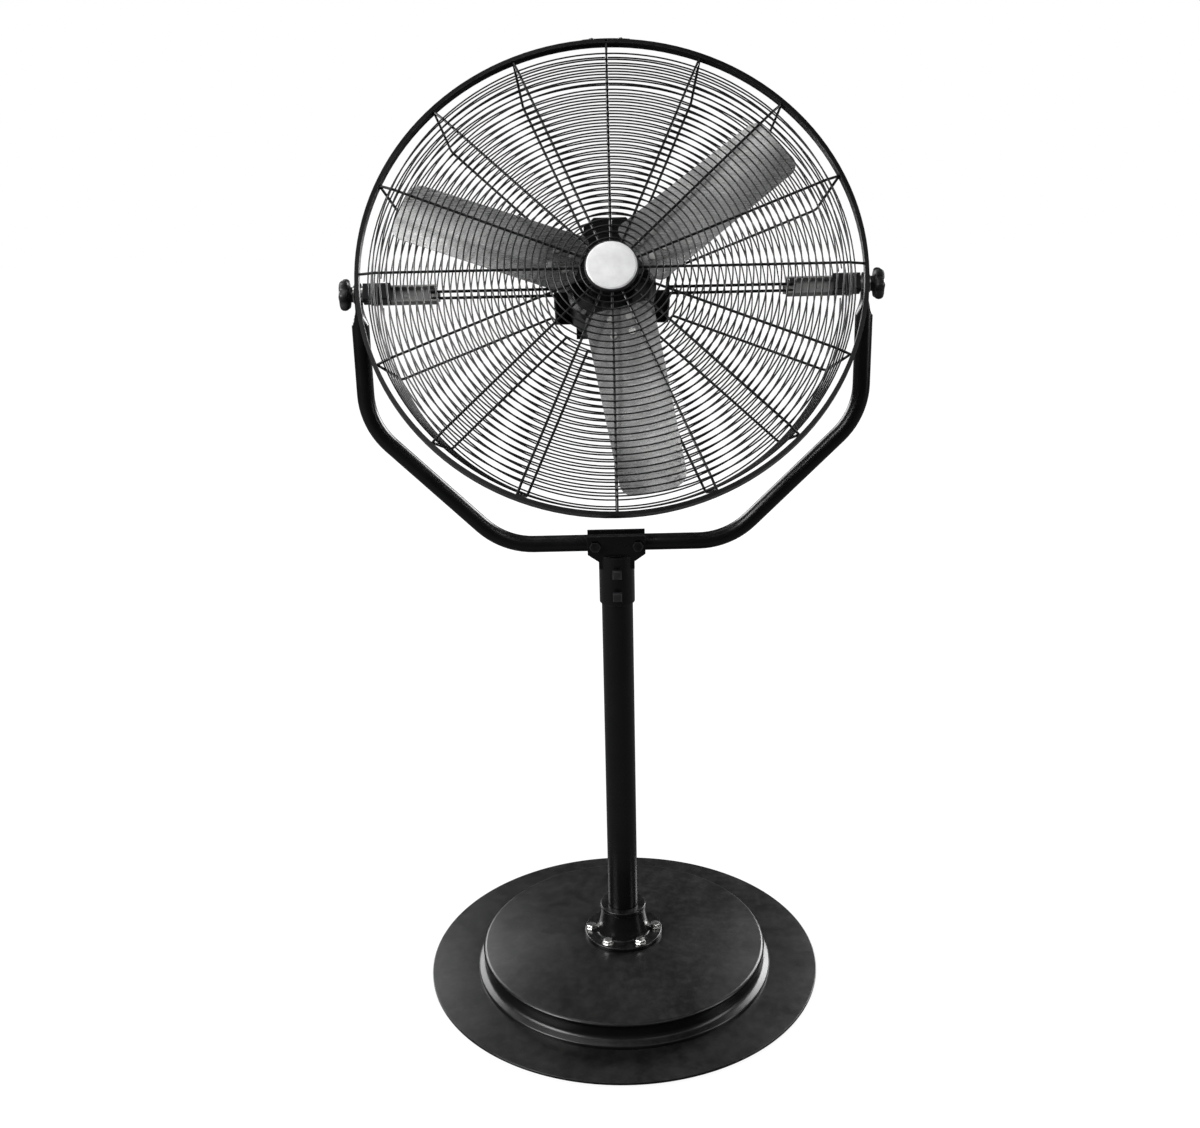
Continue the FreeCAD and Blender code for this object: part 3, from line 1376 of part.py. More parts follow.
def rear_wall():
    """The hoop and the rings up the side of the rear guard, two of them broken at the channels."""
    pieces = [torus("rear_hoop_ring", "hoop_circle", "hoop_radius", "rear_hoop")]
    for index in range(round(value("wall_rings"))):
        depth = "wall_first - %d * wall_pitch" % index
        pieces.append(torus("wall_ring_%d" % (index + 1), wall_circle(depth), "wire_radius", depth))
    for index in range(round(value("broken_rings"))):
        depth = "wall_first + %d * wall_pitch" % (index + 1)
        for half, start in (("up", 0), ("low", FULL_TURN / 2)):
            pieces.append(torus("wall_part_%s_%d" % (half, index + 1), wall_circle(depth), "wire_radius",
                                depth, start + value("wall_break_angle"),
                                "180 - 2 * wall_break_angle"))
    return pieces


def rear_guard():
    """The spokes of the rear guard with its outer rings and its wall."""
    first, last = round(value("back_inner_rings")), round(value("back_rings"))
    rings = [back_ring(index) for index in range(first, last)]
    spots = [("back_spokes", "back_first"), ("back_spokes", "back_corner"),
             ("rear_hoop", "back_spoke_end")]
    spoke = bent_spoke("back_spoke", spots, value("back_bend_radius"), "back_first")
    quarter = round(QUARTER / value("spoke_angle"))
    spokes = spread_spokes("back_spoke_copy", spoke, (quarter, quarter * 3))
    return group("back_group", rings + spokes + rear_wall())


# Clamp ring round both guards, open inwards, with a strap over its joint at the top

def guard_ring():
    inner = "ring_radius - ring_lip"
    spots = [
        (inner, "ring_front"), ("ring_radius", "ring_front"), ("ring_radius", "ring_back"),
        (inner, "ring_back"), (inner, "ring_back - ring_wall"),
        ("ring_radius - ring_wall", "ring_back - ring_wall"),
        ("ring_radius - ring_wall", "ring_front + ring_wall"), (inner, "ring_front + ring_wall"),
    ]
    body = turned("ring_section", "XY_Plane", spots)
    split = box("ring_split_cutter", ("ring_split", "ring_depth + overrun * 2", "ring_lip + overrun * 4"),
                ("-ring_split / 2", "ring_front - overrun", "ring_radius - ring_lip - overrun"))
    holes = [strap_screw_hole("ring_strap_hole_" + side, sign) for side, sign in SIDES]
    return cut("ring", body, [split] + holes)


def ring_strap():
    spots = [
        ("ring_front + strap_inset", "ring_radius"), ("ring_back - strap_inset", "ring_radius"),
        ("ring_back - strap_inset", "ring_radius + strap_thickness"),
        ("ring_front + strap_inset", "ring_radius + strap_thickness"),
    ]
    body = turned("strap_section", "YZ_Plane", spots, "H_Axis", "strap_angle")
    return cut("strap", body, [strap_screw_hole("strap_hole_" + side, sign) for side, sign in SIDES])


def strap_screw_hole(name, sign):
    hole = cylinder(name + "_tool", "guard_screw_radius + touch_gap", "guard_screw_length * 2",
                    ("0", "(ring_front + ring_back) / 2", "ring_radius - guard_screw_length"))
    return turned_about_fan(name, hole, sign * value("strap_screw_angle"))


def turned_about_fan(name, piece, angle):
    whole = group(name, [piece])
    whole.Placement = Placement(Vector(), Rotation(Y_AXIS, angle))
    return whole


# Clips that hold the rear guard's rings against the channels

def clip_place(ring):
    """Half way between a ring of the rear guard and the next one."""
    return "back_first + (%s + 1 / 2) * back_pitch" % ring


def guard_clips():
    clips = []
    face = "back_depth + wire_radius + touch_gap"
    for side, sign in SIDES:
        for index, ring in enumerate(("clip_first_ring", "clip_second_ring")):
            tag = "%s_%d" % (side, index + 1)
            middle = "%d * (%s)" % (sign, clip_place(ring))
            strip = box("clip_strip_" + tag, ("clip_length", "clip_thickness", "clip_width"),
                        (middle + " - clip_length / 2", face, "-clip_width / 2"))
            bore = cylinder("clip_bore_" + tag, "guard_screw_radius + touch_gap",
                            "clip_thickness + overrun * 2",
                            (middle, face + " + clip_thickness + overrun", "0"), X_AXIS, QUARTER)
            clips.append(cut("clip_" + tag, strip, [bore]))
    return group("clip_group", clips)


def guard_screws():
    """Two screws through the strap into the clamp ring, and one through each clip into its channel."""
    screws = []
    middle = "(ring_front + ring_back) / 2"
    top = "ring_radius + strap_thickness"
    face = "back_depth + wire_radius + touch_gap + clip_thickness"
    for side, sign in SIDES:
        shank = cylinder("strap_shank_" + side, "guard_screw_radius", "strap_screw_length",
                         ("0", middle, top + " - strap_screw_length"))
        head = cylinder("strap_head_" + side, "guard_screw_head", "guard_screw_head_height",
                        ("0", middle, top))
        screw = join("strap_screw_solid_" + side, [shank, head])
        screws.append(turned_about_fan("strap_screw_" + side, screw, sign * value("strap_screw_angle")))
        for index, ring in enumerate(("clip_first_ring", "clip_second_ring")):
            tag = "%s_%d" % (side, index + 1)
            across = "%d * (%s)" % (sign, clip_place(ring))
            shank = cylinder("clip_shank_" + tag, "guard_screw_radius", "guard_screw_length",
                             (across, face, "0"), X_AXIS, QUARTER)
            head = cylinder("clip_head_" + tag, "guard_screw_head", "guard_screw_head_height",
                            (across, face + " + guard_screw_head_height", "0"), X_AXIS, QUARTER)
            screws.append(join("clip_screw_" + tag, [shank, head]))
    return group("guard_screw_group", screws)


# White disc and the plates that clamp it to the spokes

def badge_plate():
    face = "face_spokes - spoke_radius - touch_gap"
    disc = cylinder("badge_plate_disc", "badge_plate_radius", "badge_plate", ("0", face, "0"),
                    X_AXIS, QUARTER)
    hole = cylinder("badge_plate_hole", "badge_screw_radius + touch_gap", "badge_plate + overrun * 2",
                    ("0", face + " + overrun", "0"), X_AXIS, QUARTER)
    return cut("badge_plate_piece", disc, [hole])


def badge_front():
    return "face_spokes - spoke_radius - touch_gap - badge_plate"


def centre_badge():
    base = badge_front()
    spots = [
        ("0", base), ("badge_radius", base),
        ("badge_radius", base + " - badge_edge"),
        ("badge_radius - badge_crown / 2", base + " - badge_edge - badge_crown / 2"),
        ("badge_radius / 2", base + " - badge_edge - badge_crown * badge_crown_share"),
        ("0", base + " - badge_edge - badge_crown"),
    ]
    body = turned("badge_disc", "XY_Plane", spots)
    hole = cylinder("badge_hole", "badge_screw_radius + touch_gap", "badge_edge + overrun",
                    ("0", base + " + overrun", "0"), X_AXIS, QUARTER)
    return cut("badge", body, [hole])


def badge_clamp():
    face = "face_spokes + spoke_radius + touch_gap"
    disc = cylinder("badge_clamp_disc", "badge_clamp_radius", "badge_clamp",
                    ("0", face + " + badge_clamp", "0"), X_AXIS, QUARTER)
    hole = cylinder("badge_clamp_hole", "badge_screw_radius + touch_gap", "badge_clamp + overrun * 2",
                    ("0", face + " + badge_clamp + overrun", "0"), X_AXIS, QUARTER)
    return cut("badge_clamp_piece", disc, [hole])


def badge_screw():
    back = "face_spokes + spoke_radius + touch_gap + badge_clamp"
    length = "%s - (%s) + badge_edge - touch_gap" % (back, badge_front())
    shank = cylinder("badge_screw_shank", "badge_screw_radius", length, ("0", back, "0"), X_AXIS, QUARTER)
    head = cylinder("badge_screw_head_solid", "badge_screw_head", "badge_screw_head_height",
                    ("0", back + " + badge_screw_head_height", "0"), X_AXIS, QUARTER)
    return join("badge_screw_piece", [shank, head])


# Blades: flat and riveted at the root, twisted and cambered towards the tip

def blade_section(reach, chord, pitch, camber):
    """The sheet's section across the blade at a reach from the fan's axis, blade along +X."""
    half = value("blade_thickness") / 2
    angle = math.radians(pitch)
    along = Vector(0, math.sin(angle), math.cos(angle))
    across = Vector(0, math.cos(angle), -math.sin(angle))
    centre = Vector(reach, value("blade_plane"), 0)
    sag = camber * chord

    def spot(edge, side):
        bulge = sag * (1 - edge * edge)
        return centre + along * (edge * chord / 2) + across * (bulge + side * half)
    if camber == 0:
        front = Part.LineSegment(spot(-1, -1), spot(1, -1))
        back = Part.LineSegment(spot(1, 1), spot(-1, 1))
    else:
        front = Part.Arc(spot(-1, -1), spot(0, -1), spot(1, -1))
        back = Part.Arc(spot(1, 1), spot(0, 1), spot(-1, 1))
    lead = Part.LineSegment(spot(1, -1), spot(1, 1))
    trail = Part.LineSegment(spot(-1, 1), spot(-1, -1))
    return Part.Wire([front.toShape(), lead.toShape(), back.toShape(), trail.toShape()])


def blade_planform():
    """A block, seen from the front, with rounded corners at the tip and at the root."""
    root = value("blade_root")
    tip = value("blade_tip")
    block = Part.makeBox(tip - root, value("blade_tip_chord"), value("blade_tip_chord") * 2,
                         Vector(root, value("blade_plane") - value("blade_tip_chord") / 2,
                                -value("blade_tip_chord")))
    trim_half = value("blade_tip_chord") / 2 * math.cos(math.radians(value("blade_tip_pitch")))
    root_half = value("blade_root_chord") / 2 * math.cos(math.radians(value("blade_root_pitch")))
    outline_spots = [Vector(root, 0, -root_half), Vector(tip, 0, -trim_half), Vector(tip, 0, trim_half),
                     Vector(root, 0, root_half)]
    edges = Part.makePolygon(outline_spots + [outline_spots[0]])
    slab = Part.Face(edges).extrude(Vector(0, value("blade_tip_chord"), 0))
    slab.translate(Vector(0, value("blade_plane") - value("blade_tip_chord") / 2, 0))
    rounded = slab
    deep = value("blade_tip_chord")
    for reach, corner in ((tip, value("blade_tip_corner")), (root, value("blade_root_corner"))):
        chosen = [edge for edge in rounded.Edges
                  if near(edge.BoundBox.YLength, deep) and near(edge.CenterOfMass.x, reach)]
        rounded = rounded.makeFillet(corner, chosen)
    return block.common(rounded)


def rivet_spots():
    """Places of a blade's rivets: reach from the axis and offset along the chord."""
    return [(value("rivet_first") + step * value("rivet_spacing"), side * value("rivet_side"))
            for step in range(2) for side in (-1, 1)]


def rivet_tool(reach, offset, radius, start, length):
    """A round bar square to the root of the blade, start counted backwards from the sheet's middle."""
    angle = math.radians(value("blade_root_pitch"))
    along = Vector(0, math.sin(angle), math.cos(angle))
    across = Vector(0, math.cos(angle), -math.sin(angle))
    base = Vector(reach, value("blade_plane"), 0) + along * offset + across * start
    return Part.makeCylinder(radius, length, base, across)


def blade_shape():
    sections = [blade_section(value("blade_root"), value("blade_root_chord"), value("blade_root_pitch"), 0)]
    arm_end = value("blade_arm_end")
    span = value("blade_tip") - arm_end
    for step in range(BLADE_STEPS + 1):
        share = step / BLADE_STEPS
        reach = arm_end + span * share
        grown = (reach - value("blade_root")) / (value("blade_tip") - value("blade_root"))
        chord = value("blade_root_chord") + (value("blade_tip_chord") - value("blade_root_chord")) * grown
        pitch = value("blade_root_pitch") + (value("blade_tip_pitch") - value("blade_root_pitch")) * share
        sections.append(blade_section(reach, chord, pitch, value("blade_camber_share") * share))
    sheet_metal = Part.makeLoft(sections, True, True)
    trimmed = sheet_metal.common(blade_planform())
    reach = value("blade_thickness") * 3
    for spot in rivet_spots():
        trimmed = trimmed.cut(rivet_tool(spot[0], spot[1], value("rivet_radius"), -reach, reach * 2))
    return trimmed


def about_fan(angle):
    """The head's placement after a turn about the fan's axis, counter-clockwise from the front."""
    tilt = Placement(Vector(0, 0, value("pivot_height")), Rotation(X_AXIS, -value("rest_tilt")))
    return tilt.multiply(Placement(Vector(), Rotation(Y_AXIS, -angle)))


def blade_angle(index):
    return value("first_blade_angle") + index * FULL_TURN / BLADE_COUNT


def blades():
    shape = blade_shape()
    for index in range(BLADE_COUNT):
        blade = doc.addObject("Part::Feature", "blade_sheet_%d" % (index + 1))
        blade.Shape = shape.copy()
        blade.Placement = about_fan(blade_angle(index))
        finish("blade_%d" % (index + 1), blade)


def blade_spider():
    """A plate on the hub with one arm behind the root of each blade."""
    face = value("blade_plane") + value("blade_thickness") / 2
    disc = Part.makeCylinder(value("spider_radius"), value("spider_thickness"), Vector(0, face, 0), Y_AXIS)
    angle = math.radians(value("blade_root_pitch"))
    along = Vector(0, math.sin(angle), math.cos(angle))
    across = Vector(0, math.cos(angle), -math.sin(angle))
    corner = (Vector(value("arm_start"), value("blade_plane"), 0) - along * (value("arm_width") / 2)
              + across * (value("blade_thickness") / 2))
    length = value("blade_arm_end") - value("arm_start") - value("rivet_head_radius")
    edges = Part.makePolygon([corner, corner + X_AXIS * length,
                              corner + X_AXIS * length + along * value("arm_width"),
                              corner + along * value("arm_width"), corner])
    arm = Part.Face(edges).extrude(across * value("arm_thickness"))
    start = -value("overrun")
    reach = value("blade_thickness") / 2 + value("arm_thickness") + value("overrun") * 2
    for spot in rivet_spots():
        arm = arm.cut(rivet_tool(spot[0], spot[1], value("rivet_radius"), start, reach))
    shape = disc
    for index in range(BLADE_COUNT):
        turned_arm = arm.copy()
        turned_arm.rotate(Vector(), Y_AXIS, -blade_angle(index))
        shape = shape.fuse(turned_arm)
    bore = Part.makeCylinder(value("hub_radius"), value("blade_tip_chord"),
                             Vector(0, face - value("blade_tip_chord") / 2, 0), Y_AXIS)
    spider = doc.addObject("Part::Feature", "spider")
    spider.Shape = shape.cut(bore).removeSplitter()
    spider.Placement = about_fan(0)
    return finish("blade_spider", spider)


def blade_rivets():
    half = value("blade_thickness") / 2
    back = half + value("arm_thickness")
    pieces = []
    for index in range(BLADE_COUNT):
        for spot in rivet_spots():
            shank = rivet_tool(spot[0], spot[1], value("rivet_radius"), -half, half + back)
            head = rivet_tool(spot[0], spot[1], value("rivet_head_radius"), -half - value("rivet_head"),
                              value("rivet_head"))
            tail = rivet_tool(spot[0], spot[1], value("rivet_head_radius"), back, value("rivet_head"))
            rivet = head.fuse([shank, tail])
            rivet.rotate(Vector(), Y_AXIS, -blade_angle(index))
            pieces.append(rivet)
    rivets = doc.addObject("Part::Feature", "rivets")
    rivets.Shape = Part.makeCompound(pieces)
    rivets.Placement = about_fan(0)
    return finish("blade_rivets", rivets)


def blade_hub():
    boss = cylinder("hub_boss", "hub_radius", "hub_half_length * 2",
                    ("0", "blade_plane + hub_half_length", "0"), X_AXIS, QUARTER)
    bore = cylinder("hub_bore", "shaft_radius", "hub_half_length * 2 + overrun * 2",
                    ("0", "blade_plane + hub_half_length + overrun", "0"), X_AXIS, QUARTER)
    hole = cylinder("hub_screw_hole", "hub_screw_radius", "hub_radius + overrun",
                    ("0", "blade_plane - hub_half_length + hub_screw_setback", "0"))
    return cut("hub", boss, [bore, hole])


def hub_screw():
    length = "hub_radius - shaft_radius - touch_gap * 2"
    return cylinder("hub_screw_piece", "hub_screw_radius - touch_gap", length,
                    ("0", "blade_plane - hub_half_length + hub_screw_setback", "shaft_radius + touch_gap"))


# The whole fan

def build_fan():
    for name, maker in (("floor_pads", floor_pads), ("base_plate", base_plate),
                        ("plate_screws", plate_screws), ("base_dome", base_dome),
                        ("ballast", ballast), ("pole_socket", pole_socket),
                        ("socket_bolts", socket_bolts), ("pole", pole), ("yoke_bracket", yoke_bracket),
                        ("sleeve_screws", sleeve_screws), ("saddle_bolts", saddle_bolts), ("yoke", yoke),
                        ("knob_washers", knob_washers)):
        on_stand(name, maker())
    for side, sign in SIDES:
        in_head("knob_" + side, knob(side, sign))
        in_head("stud_" + side, stud(side, sign))
        in_head("pivot_block_" + side, pivot_block(side, sign))
        in_head("channel_" + side, channel(side, sign))
    in_head("motor_front_bell", motor_bell("front_bell", "motor_front", "+"))
    in_head("motor_rear_bell", motor_bell("rear_bell", "motor_back", "-"))
    for name, maker in (("pivot_washers", pivot_washers), ("block_bolts", block_bolts),
                        ("support_rods", support_rods), ("motor_cradle", motor_cradle),
                        ("motor_shell", motor_shell), ("stator_core", stator_core),
                        ("stator_windings", stator_windings), ("motor_bearings", motor_bearings),
                        ("motor_bolts", motor_bolts), ("motor_shaft", motor_shaft),
                        ("rotor_core", rotor_core),
                        ("switch_box", switch_box), ("box_lid", box_lid), ("lid_screws", lid_screws),
                        ("run_capacitor", run_capacitor), ("speed_switch", speed_switch),
                        ("speed_knob", speed_knob), ("cord_gland", cord_gland),
                        ("front_inner_rings", front_inner_rings), ("front_guard", front_guard),
                        ("rear_inner_rings", rear_inner_rings), ("rear_guard", rear_guard),
                        ("guard_ring", guard_ring), ("ring_strap", ring_strap),
                        ("guard_clips", guard_clips), ("guard_screws", guard_screws),
                        ("badge_plate", badge_plate), ("centre_badge", centre_badge),
                        ("badge_clamp", badge_clamp), ("badge_screw", badge_screw),
                        ("blade_hub", blade_hub), ("hub_screw", hub_screw)):
        in_head(name, maker())
    blades()
    blade_spider()
    blade_rivets()


def check_and_write():
    doc.recompute()
    faults = [thing.Name for thing in doc.Objects if "Invalid" in thing.State or "Error" in thing.State]
    for piece in nodes:
        if piece.Shape.isNull() or not piece.Shape.isValid() or not piece.Shape.Solids:
            faults.append(piece.Label)
    if faults:
        raise RuntimeError("these pieces failed: " + ", ".join(faults))
    for piece in nodes:
        piece.Shape.exportStep("parts/" + piece.Label + ".step")
        print(piece.Label, len(piece.Shape.Solids), round(piece.Shape.Volume))


build_fan()
check_and_write()
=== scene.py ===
import math

import bmesh
import bpy
from mathutils import Matrix, Vector


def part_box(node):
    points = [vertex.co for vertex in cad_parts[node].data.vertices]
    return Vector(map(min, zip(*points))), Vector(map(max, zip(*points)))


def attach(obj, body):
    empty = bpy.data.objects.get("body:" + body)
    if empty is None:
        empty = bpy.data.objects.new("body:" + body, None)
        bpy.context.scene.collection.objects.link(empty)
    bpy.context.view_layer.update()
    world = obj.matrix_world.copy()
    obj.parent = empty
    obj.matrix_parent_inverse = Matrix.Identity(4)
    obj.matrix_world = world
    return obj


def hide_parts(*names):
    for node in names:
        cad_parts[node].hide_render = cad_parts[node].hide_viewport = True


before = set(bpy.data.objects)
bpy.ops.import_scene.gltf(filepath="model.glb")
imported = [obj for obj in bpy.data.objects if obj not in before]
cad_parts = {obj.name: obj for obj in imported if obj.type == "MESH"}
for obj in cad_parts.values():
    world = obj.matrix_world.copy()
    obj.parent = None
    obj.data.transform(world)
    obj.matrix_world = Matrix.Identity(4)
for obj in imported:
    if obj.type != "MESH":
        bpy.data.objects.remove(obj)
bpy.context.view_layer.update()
scene = bpy.context.scene
scene.view_settings.view_transform = "Standard"

# Camera
# It stands at head height, nearly three metres in front of the fan, and looks down at it.
# The picture leans by one degree, as the photograph does.
CAMERA_PLACE = (-0.0246, -2.711, 1.8879)
CAMERA_LEVEL = math.radians(90)
CAMERA_DIP = math.radians(20.9)
CAMERA_SWING = math.radians(0.12)
CAMERA_LEAN = math.radians(-1.3)
CAMERA_LENS = 48.0
CAMERA_SENSOR = 36.0
CAMERA_SIGHT = 60.0

camera_data = bpy.data.cameras.new("camera")
camera_data.lens = CAMERA_LENS
camera_data.sensor_width = CAMERA_SENSOR
camera_data.clip_end = CAMERA_SIGHT
camera = bpy.data.objects.new("camera", camera_data)
scene.collection.objects.link(camera)
camera.matrix_world = (
    Matrix.Translation(CAMERA_PLACE)
    @ Matrix.Rotation(CAMERA_SWING, 4, "Z")
    @ Matrix.Rotation(CAMERA_LEVEL - CAMERA_DIP, 4, "X")
    @ Matrix.Rotation(CAMERA_LEAN, 4, "Z")
)
scene.camera = camera


# Studio
# A paper floor that the camera sees white out to a white room. A large soft lamp stands on
# the left and a narrow one on the right, three hang above and in front, and two low soft
# boxes behind light the base.
FLOOR_SIZE = 16.0
FLOOR_COLOUR = (0.09, 0.09, 0.09, 1.0)
FLOOR_GLOW = 0.93
GLOW_NEAR = 0.8
GLOW_FAR = 2.4
ROOM_LIGHT = 0.05
ROOM_COLOUR = (0.93, 0.95, 1.0, 1.0)
WHITE = (1.0, 1.0, 1.0, 1.0)
LAMPS = (
    # name, place, width and height, power
    ("key", (-3.4, -1.8, 2.9), (2.2, 2.4), 185.0),
    ("top", (-1.1, 0.4, 4.4), (1.9, 2.4), 27.0),
    ("over", (1.6, -2.7, 4.1), (1.6, 1.5), 8.0),
    ("front", (-0.9, -2.4, 4.2), (1.0, 1.0), 3.5),
    ("strip", (3.2, -0.8, 1.9), (0.5, 2.6), 34.0),
    ("back_left", (-2.3, 2.9, 1.9), (2.2, 2.0), 100.0),
    ("back_right", (2.5, 2.7, 1.9), (1.8, 2.0), 150.0),
)
LAMP_TARGET = Vector((0.0, 0.0, 0.8))


def put(tree, kind, feeds, **options):
    """Adds a node, sets its options, and fills its inputs from plain values or other sockets."""
    made = tree.nodes.new(kind)
    for option, choice in options.items():
        setattr(made, option, choice)
    for key, source in feeds.items():
        if isinstance(source, bpy.types.NodeSocket):
            tree.links.new(source, made.inputs[key])
        else:
            made.inputs[key].default_value = source
    return made


def worked(tree, operation, *values):
    """What a Math node makes of up to three values."""
    return put(tree, "ShaderNodeMath", dict(enumerate(values)), operation=operation).outputs[0]


def paper_floor():
    """Paper that also glows for the camera: less near the fan, to keep its shadow, and fully far off."""
    material = bpy.data.materials.new("paper_floor")
    material.use_nodes = True
    tree = material.node_tree
    tree.nodes.clear()
    paper = put(tree, "ShaderNodeBsdfDiffuse", {"Color": FLOOR_COLOUR})
    place = put(tree, "ShaderNodeTexCoord", {}).outputs["Object"]
    away = put(tree, "ShaderNodeVectorMath", {0: place}, operation="LENGTH")
    levels = {0: away.outputs["Value"], 1: GLOW_NEAR, 2: GLOW_FAR, 3: FLOOR_GLOW, 4: 1.0}
    level = put(tree, "ShaderNodeMapRange", levels, interpolation_type="SMOOTHSTEP")
    rays = put(tree, "ShaderNodeLightPath", {})
    seen = worked(tree, "MULTIPLY", rays.outputs["Is Camera Ray"], level.outputs[0])
    glow = put(tree, "ShaderNodeEmission", {"Color": WHITE, "Strength": seen})
    both = put(tree, "ShaderNodeAddShader", {0: paper.outputs[0], 1: glow.outputs[0]})
    put(tree, "ShaderNodeOutputMaterial", {"Surface": both.outputs[0]})
    return material


floor_mesh = bpy.data.meshes.new("floor")
half = FLOOR_SIZE / 2
floor_corners = [(-half, -half, 0), (half, -half, 0), (half, half, 0), (-half, half, 0)]
floor_mesh.from_pydata(floor_corners, [], [(0, 1, 2, 3)])
floor = bpy.data.objects.new("floor", floor_mesh)
scene.collection.objects.link(floor)
floor.data.materials.append(paper_floor())

world = bpy.data.worlds.new("room")
scene.world = world
world.use_nodes = True
world.node_tree.nodes.clear()
room = world.node_tree
rays = put(room, "ShaderNodeLightPath", {})
dim = put(room, "ShaderNodeBackground", {"Color": ROOM_COLOUR, "Strength": ROOM_LIGHT})
white = put(room, "ShaderNodeBackground", {"Color": WHITE, "Strength": 1.0})
both = put(room, "ShaderNodeMixShader",
           {0: rays.outputs["Is Camera Ray"], 1: dim.outputs[0], 2: white.outputs[0]})
put(room, "ShaderNodeOutputWorld", {"Surface": both.outputs[0]})

for name, place, size, power in LAMPS:
    lamp_data = bpy.data.lights.new(name, "AREA")
    lamp_data.shape = "RECTANGLE"
    lamp_data.size, lamp_data.size_y = size
    lamp_data.energy = power
    lamp = bpy.data.objects.new(name, lamp_data)
    scene.collection.objects.link(lamp)
    lamp.location = place
    lamp.rotation_euler = (LAMP_TARGET - Vector(place)).to_track_quat("-Z", "Y").to_euler()


# Floor plate and its pads
# A round plate cut from 5 mm sheet with its edge rolled smooth, in the baked black powder
# coat that most of the fan has. Six rubber pads are stuck under it, and four plated
# countersunk screws hold the cast weight on it from below.
PLATE_ROUNDING = 0.0014
PLATE_STEPS = 192
CORNER_STEPS = 5
ON_AXIS = 0.000001
DUST_COLOUR = (0.24, 0.23, 0.21, 1.0)
PALE_DUST = (0.3, 0.29, 0.27, 1.0)
BARE_STEEL = (0.33, 0.33, 0.34, 1.0)
POLISHED = (0.85, 0.85, 0.84, 1.0)
# colour of the painted shade that darkens the blades near the hub
HUB_SHADE_COLOUR = (0.1, 0.1, 0.1, 1.0)
COAT_EDGE = 0.0012
COAT_SHADES = (0.8, 1.25)
COAT_DRIFT = 0.03
COAT_PEEL = 0.2
DUST_DULLS = 0.45
PLATING_EDGE = 0.0006
PLATING_WEAR = 0.6
PLATING_SHADES = (0.72, 1.1)
PLATING_DRIFT = (-0.08, 0.12)
SCRATCH_DEPTH = 0.00005
SCRATCH_STRENGTH = 0.3
MOULD_SHADES = (0.88, 1.08)
MOULD_DRIFT = (-0.06, 0.08)
MOULD_STRENGTH = 0.3
# the values between which a noise or a slope fades in
PATCHES = (0.32, 0.68)
MOTES = (0.42, 0.74)
CHIPS = (0.4, 0.62)
SCRATCHES = (0.3, 0.7)
TURNED_UP = (0.45, 1.0)
CORNERED = (0.985, 0.8)


def noise(tree, place, scale, detail, roughness=0.5):
    """Noise in the given coordinates."""
    feeds = {"Vector": place, "Scale": scale, "Detail": detail, "Roughness": roughness}
    return put(tree, "ShaderNodeTexNoise", feeds).outputs[0]


def spread(tree, value, low, high, start=0.0, end=1.0):
    """Turns the range from low to high into the one from start to end, and stops there."""
    return put(tree, "ShaderNodeMapRange", {0: value, 1: low, 2: high, 3: start, 4: end}).outputs[0]


def shader_group(name, inputs, outputs):
    """A group with its inputs' starting values, and the names of its outputs."""
    group = bpy.data.node_groups.new(name, "ShaderNodeTree")
    for word, start in inputs.items():
        kind = "NodeSocketFloat"
        if isinstance(start, tuple):
            kind = "NodeSocketVector"
        socket = group.interface.new_socket(word, in_out="INPUT", socket_type=kind)
        socket.default_value = start
    for word in outputs:
        group.interface.new_socket(word, in_out="OUTPUT", socket_type="NodeSocketFloat")
    source = group.nodes.new("NodeGroupInput").outputs
    target = group.nodes.new("NodeGroupOutput")
    return group, source, target


def build_grain_group():
    """Fine pebbled height and a broad unevenness, both from noise in the piece's own coordinates."""
    group, given, target = shader_group(
        "surface_grain", {"Vector": (0.0, 0.0, 0.0), "Fine Scale": 900.0, "Broad Scale": 14.0},
        ("Height", "Patches"))
    fine = noise(group, given["Vector"], given["Fine Scale"], 2.0)
    broad = noise(group, given["Vector"], given["Broad Scale"], 4.0, 0.6)
    group.links.new(fine, target.inputs["Height"])
    group.links.new(spread(group, broad, *PATCHES), target.inputs["Patches"])
    return group


def build_dust_group():
    """A mask of dust that lies on faces turned up, broken by noise."""
    group, given, target = shader_group(
        "settled_dust",
        {"Vector": (0.0, 0.0, 0.0), "Normal": (0.0, 0.0, 1.0), "Amount": 0.3, "Scale": 60.0}, ("Dust",))
    facing = put(group, "ShaderNodeSeparateXYZ", {0: given["Normal"]})
    flat = spread(group, facing.outputs["Z"], *TURNED_UP)
    motes = noise(group, given["Vector"], given["Scale"], 6.0, 0.7)
    lying = worked(group, "MULTIPLY", flat, spread(group, motes, *MOTES))
    group.links.new(worked(group, "MULTIPLY", lying, given["Amount"]), target.inputs["Dust"])
    return group


def build_wear_group():
    """A mask of rubbed edges: where a rounded normal leaves the flat one, broken by noise."""
    group, given, target = shader_group(
        "edge_wear",
        {"Vector": (0.0, 0.0, 0.0), "Normal": (0.0, 0.0, 1.0), "Width": 0.0012, "Amount": 0.5,
         "Scale": 120.0}, ("Wear",))
    round_edge = put(group, "ShaderNodeBevel", {"Radius": given["Width"]}, samples=4)
    match = put(group, "ShaderNodeVectorMath", {0: round_edge.outputs[0], 1: given["Normal"]},
                operation="DOT_PRODUCT")
    edge = spread(group, match.outputs["Value"], *CORNERED)
    chips = noise(group, given["Vector"], given["Scale"], 5.0, 0.65)
    rubbed = worked(group, "MULTIPLY", edge, spread(group, chips, *CHIPS))
    group.links.new(worked(group, "MULTIPLY", rubbed, given["Amount"]), target.inputs["Wear"])
    return group


grain_group = build_grain_group()
dust_group = build_dust_group()
wear_group = build_wear_group()


def blend_colour(tree, share, first, second):
    """The first colour where the share is 0 and the second where it is 1."""
    return put(tree, "ShaderNodeMix", {0: share, 6: first, 7: second}, data_type="RGBA").outputs[2]


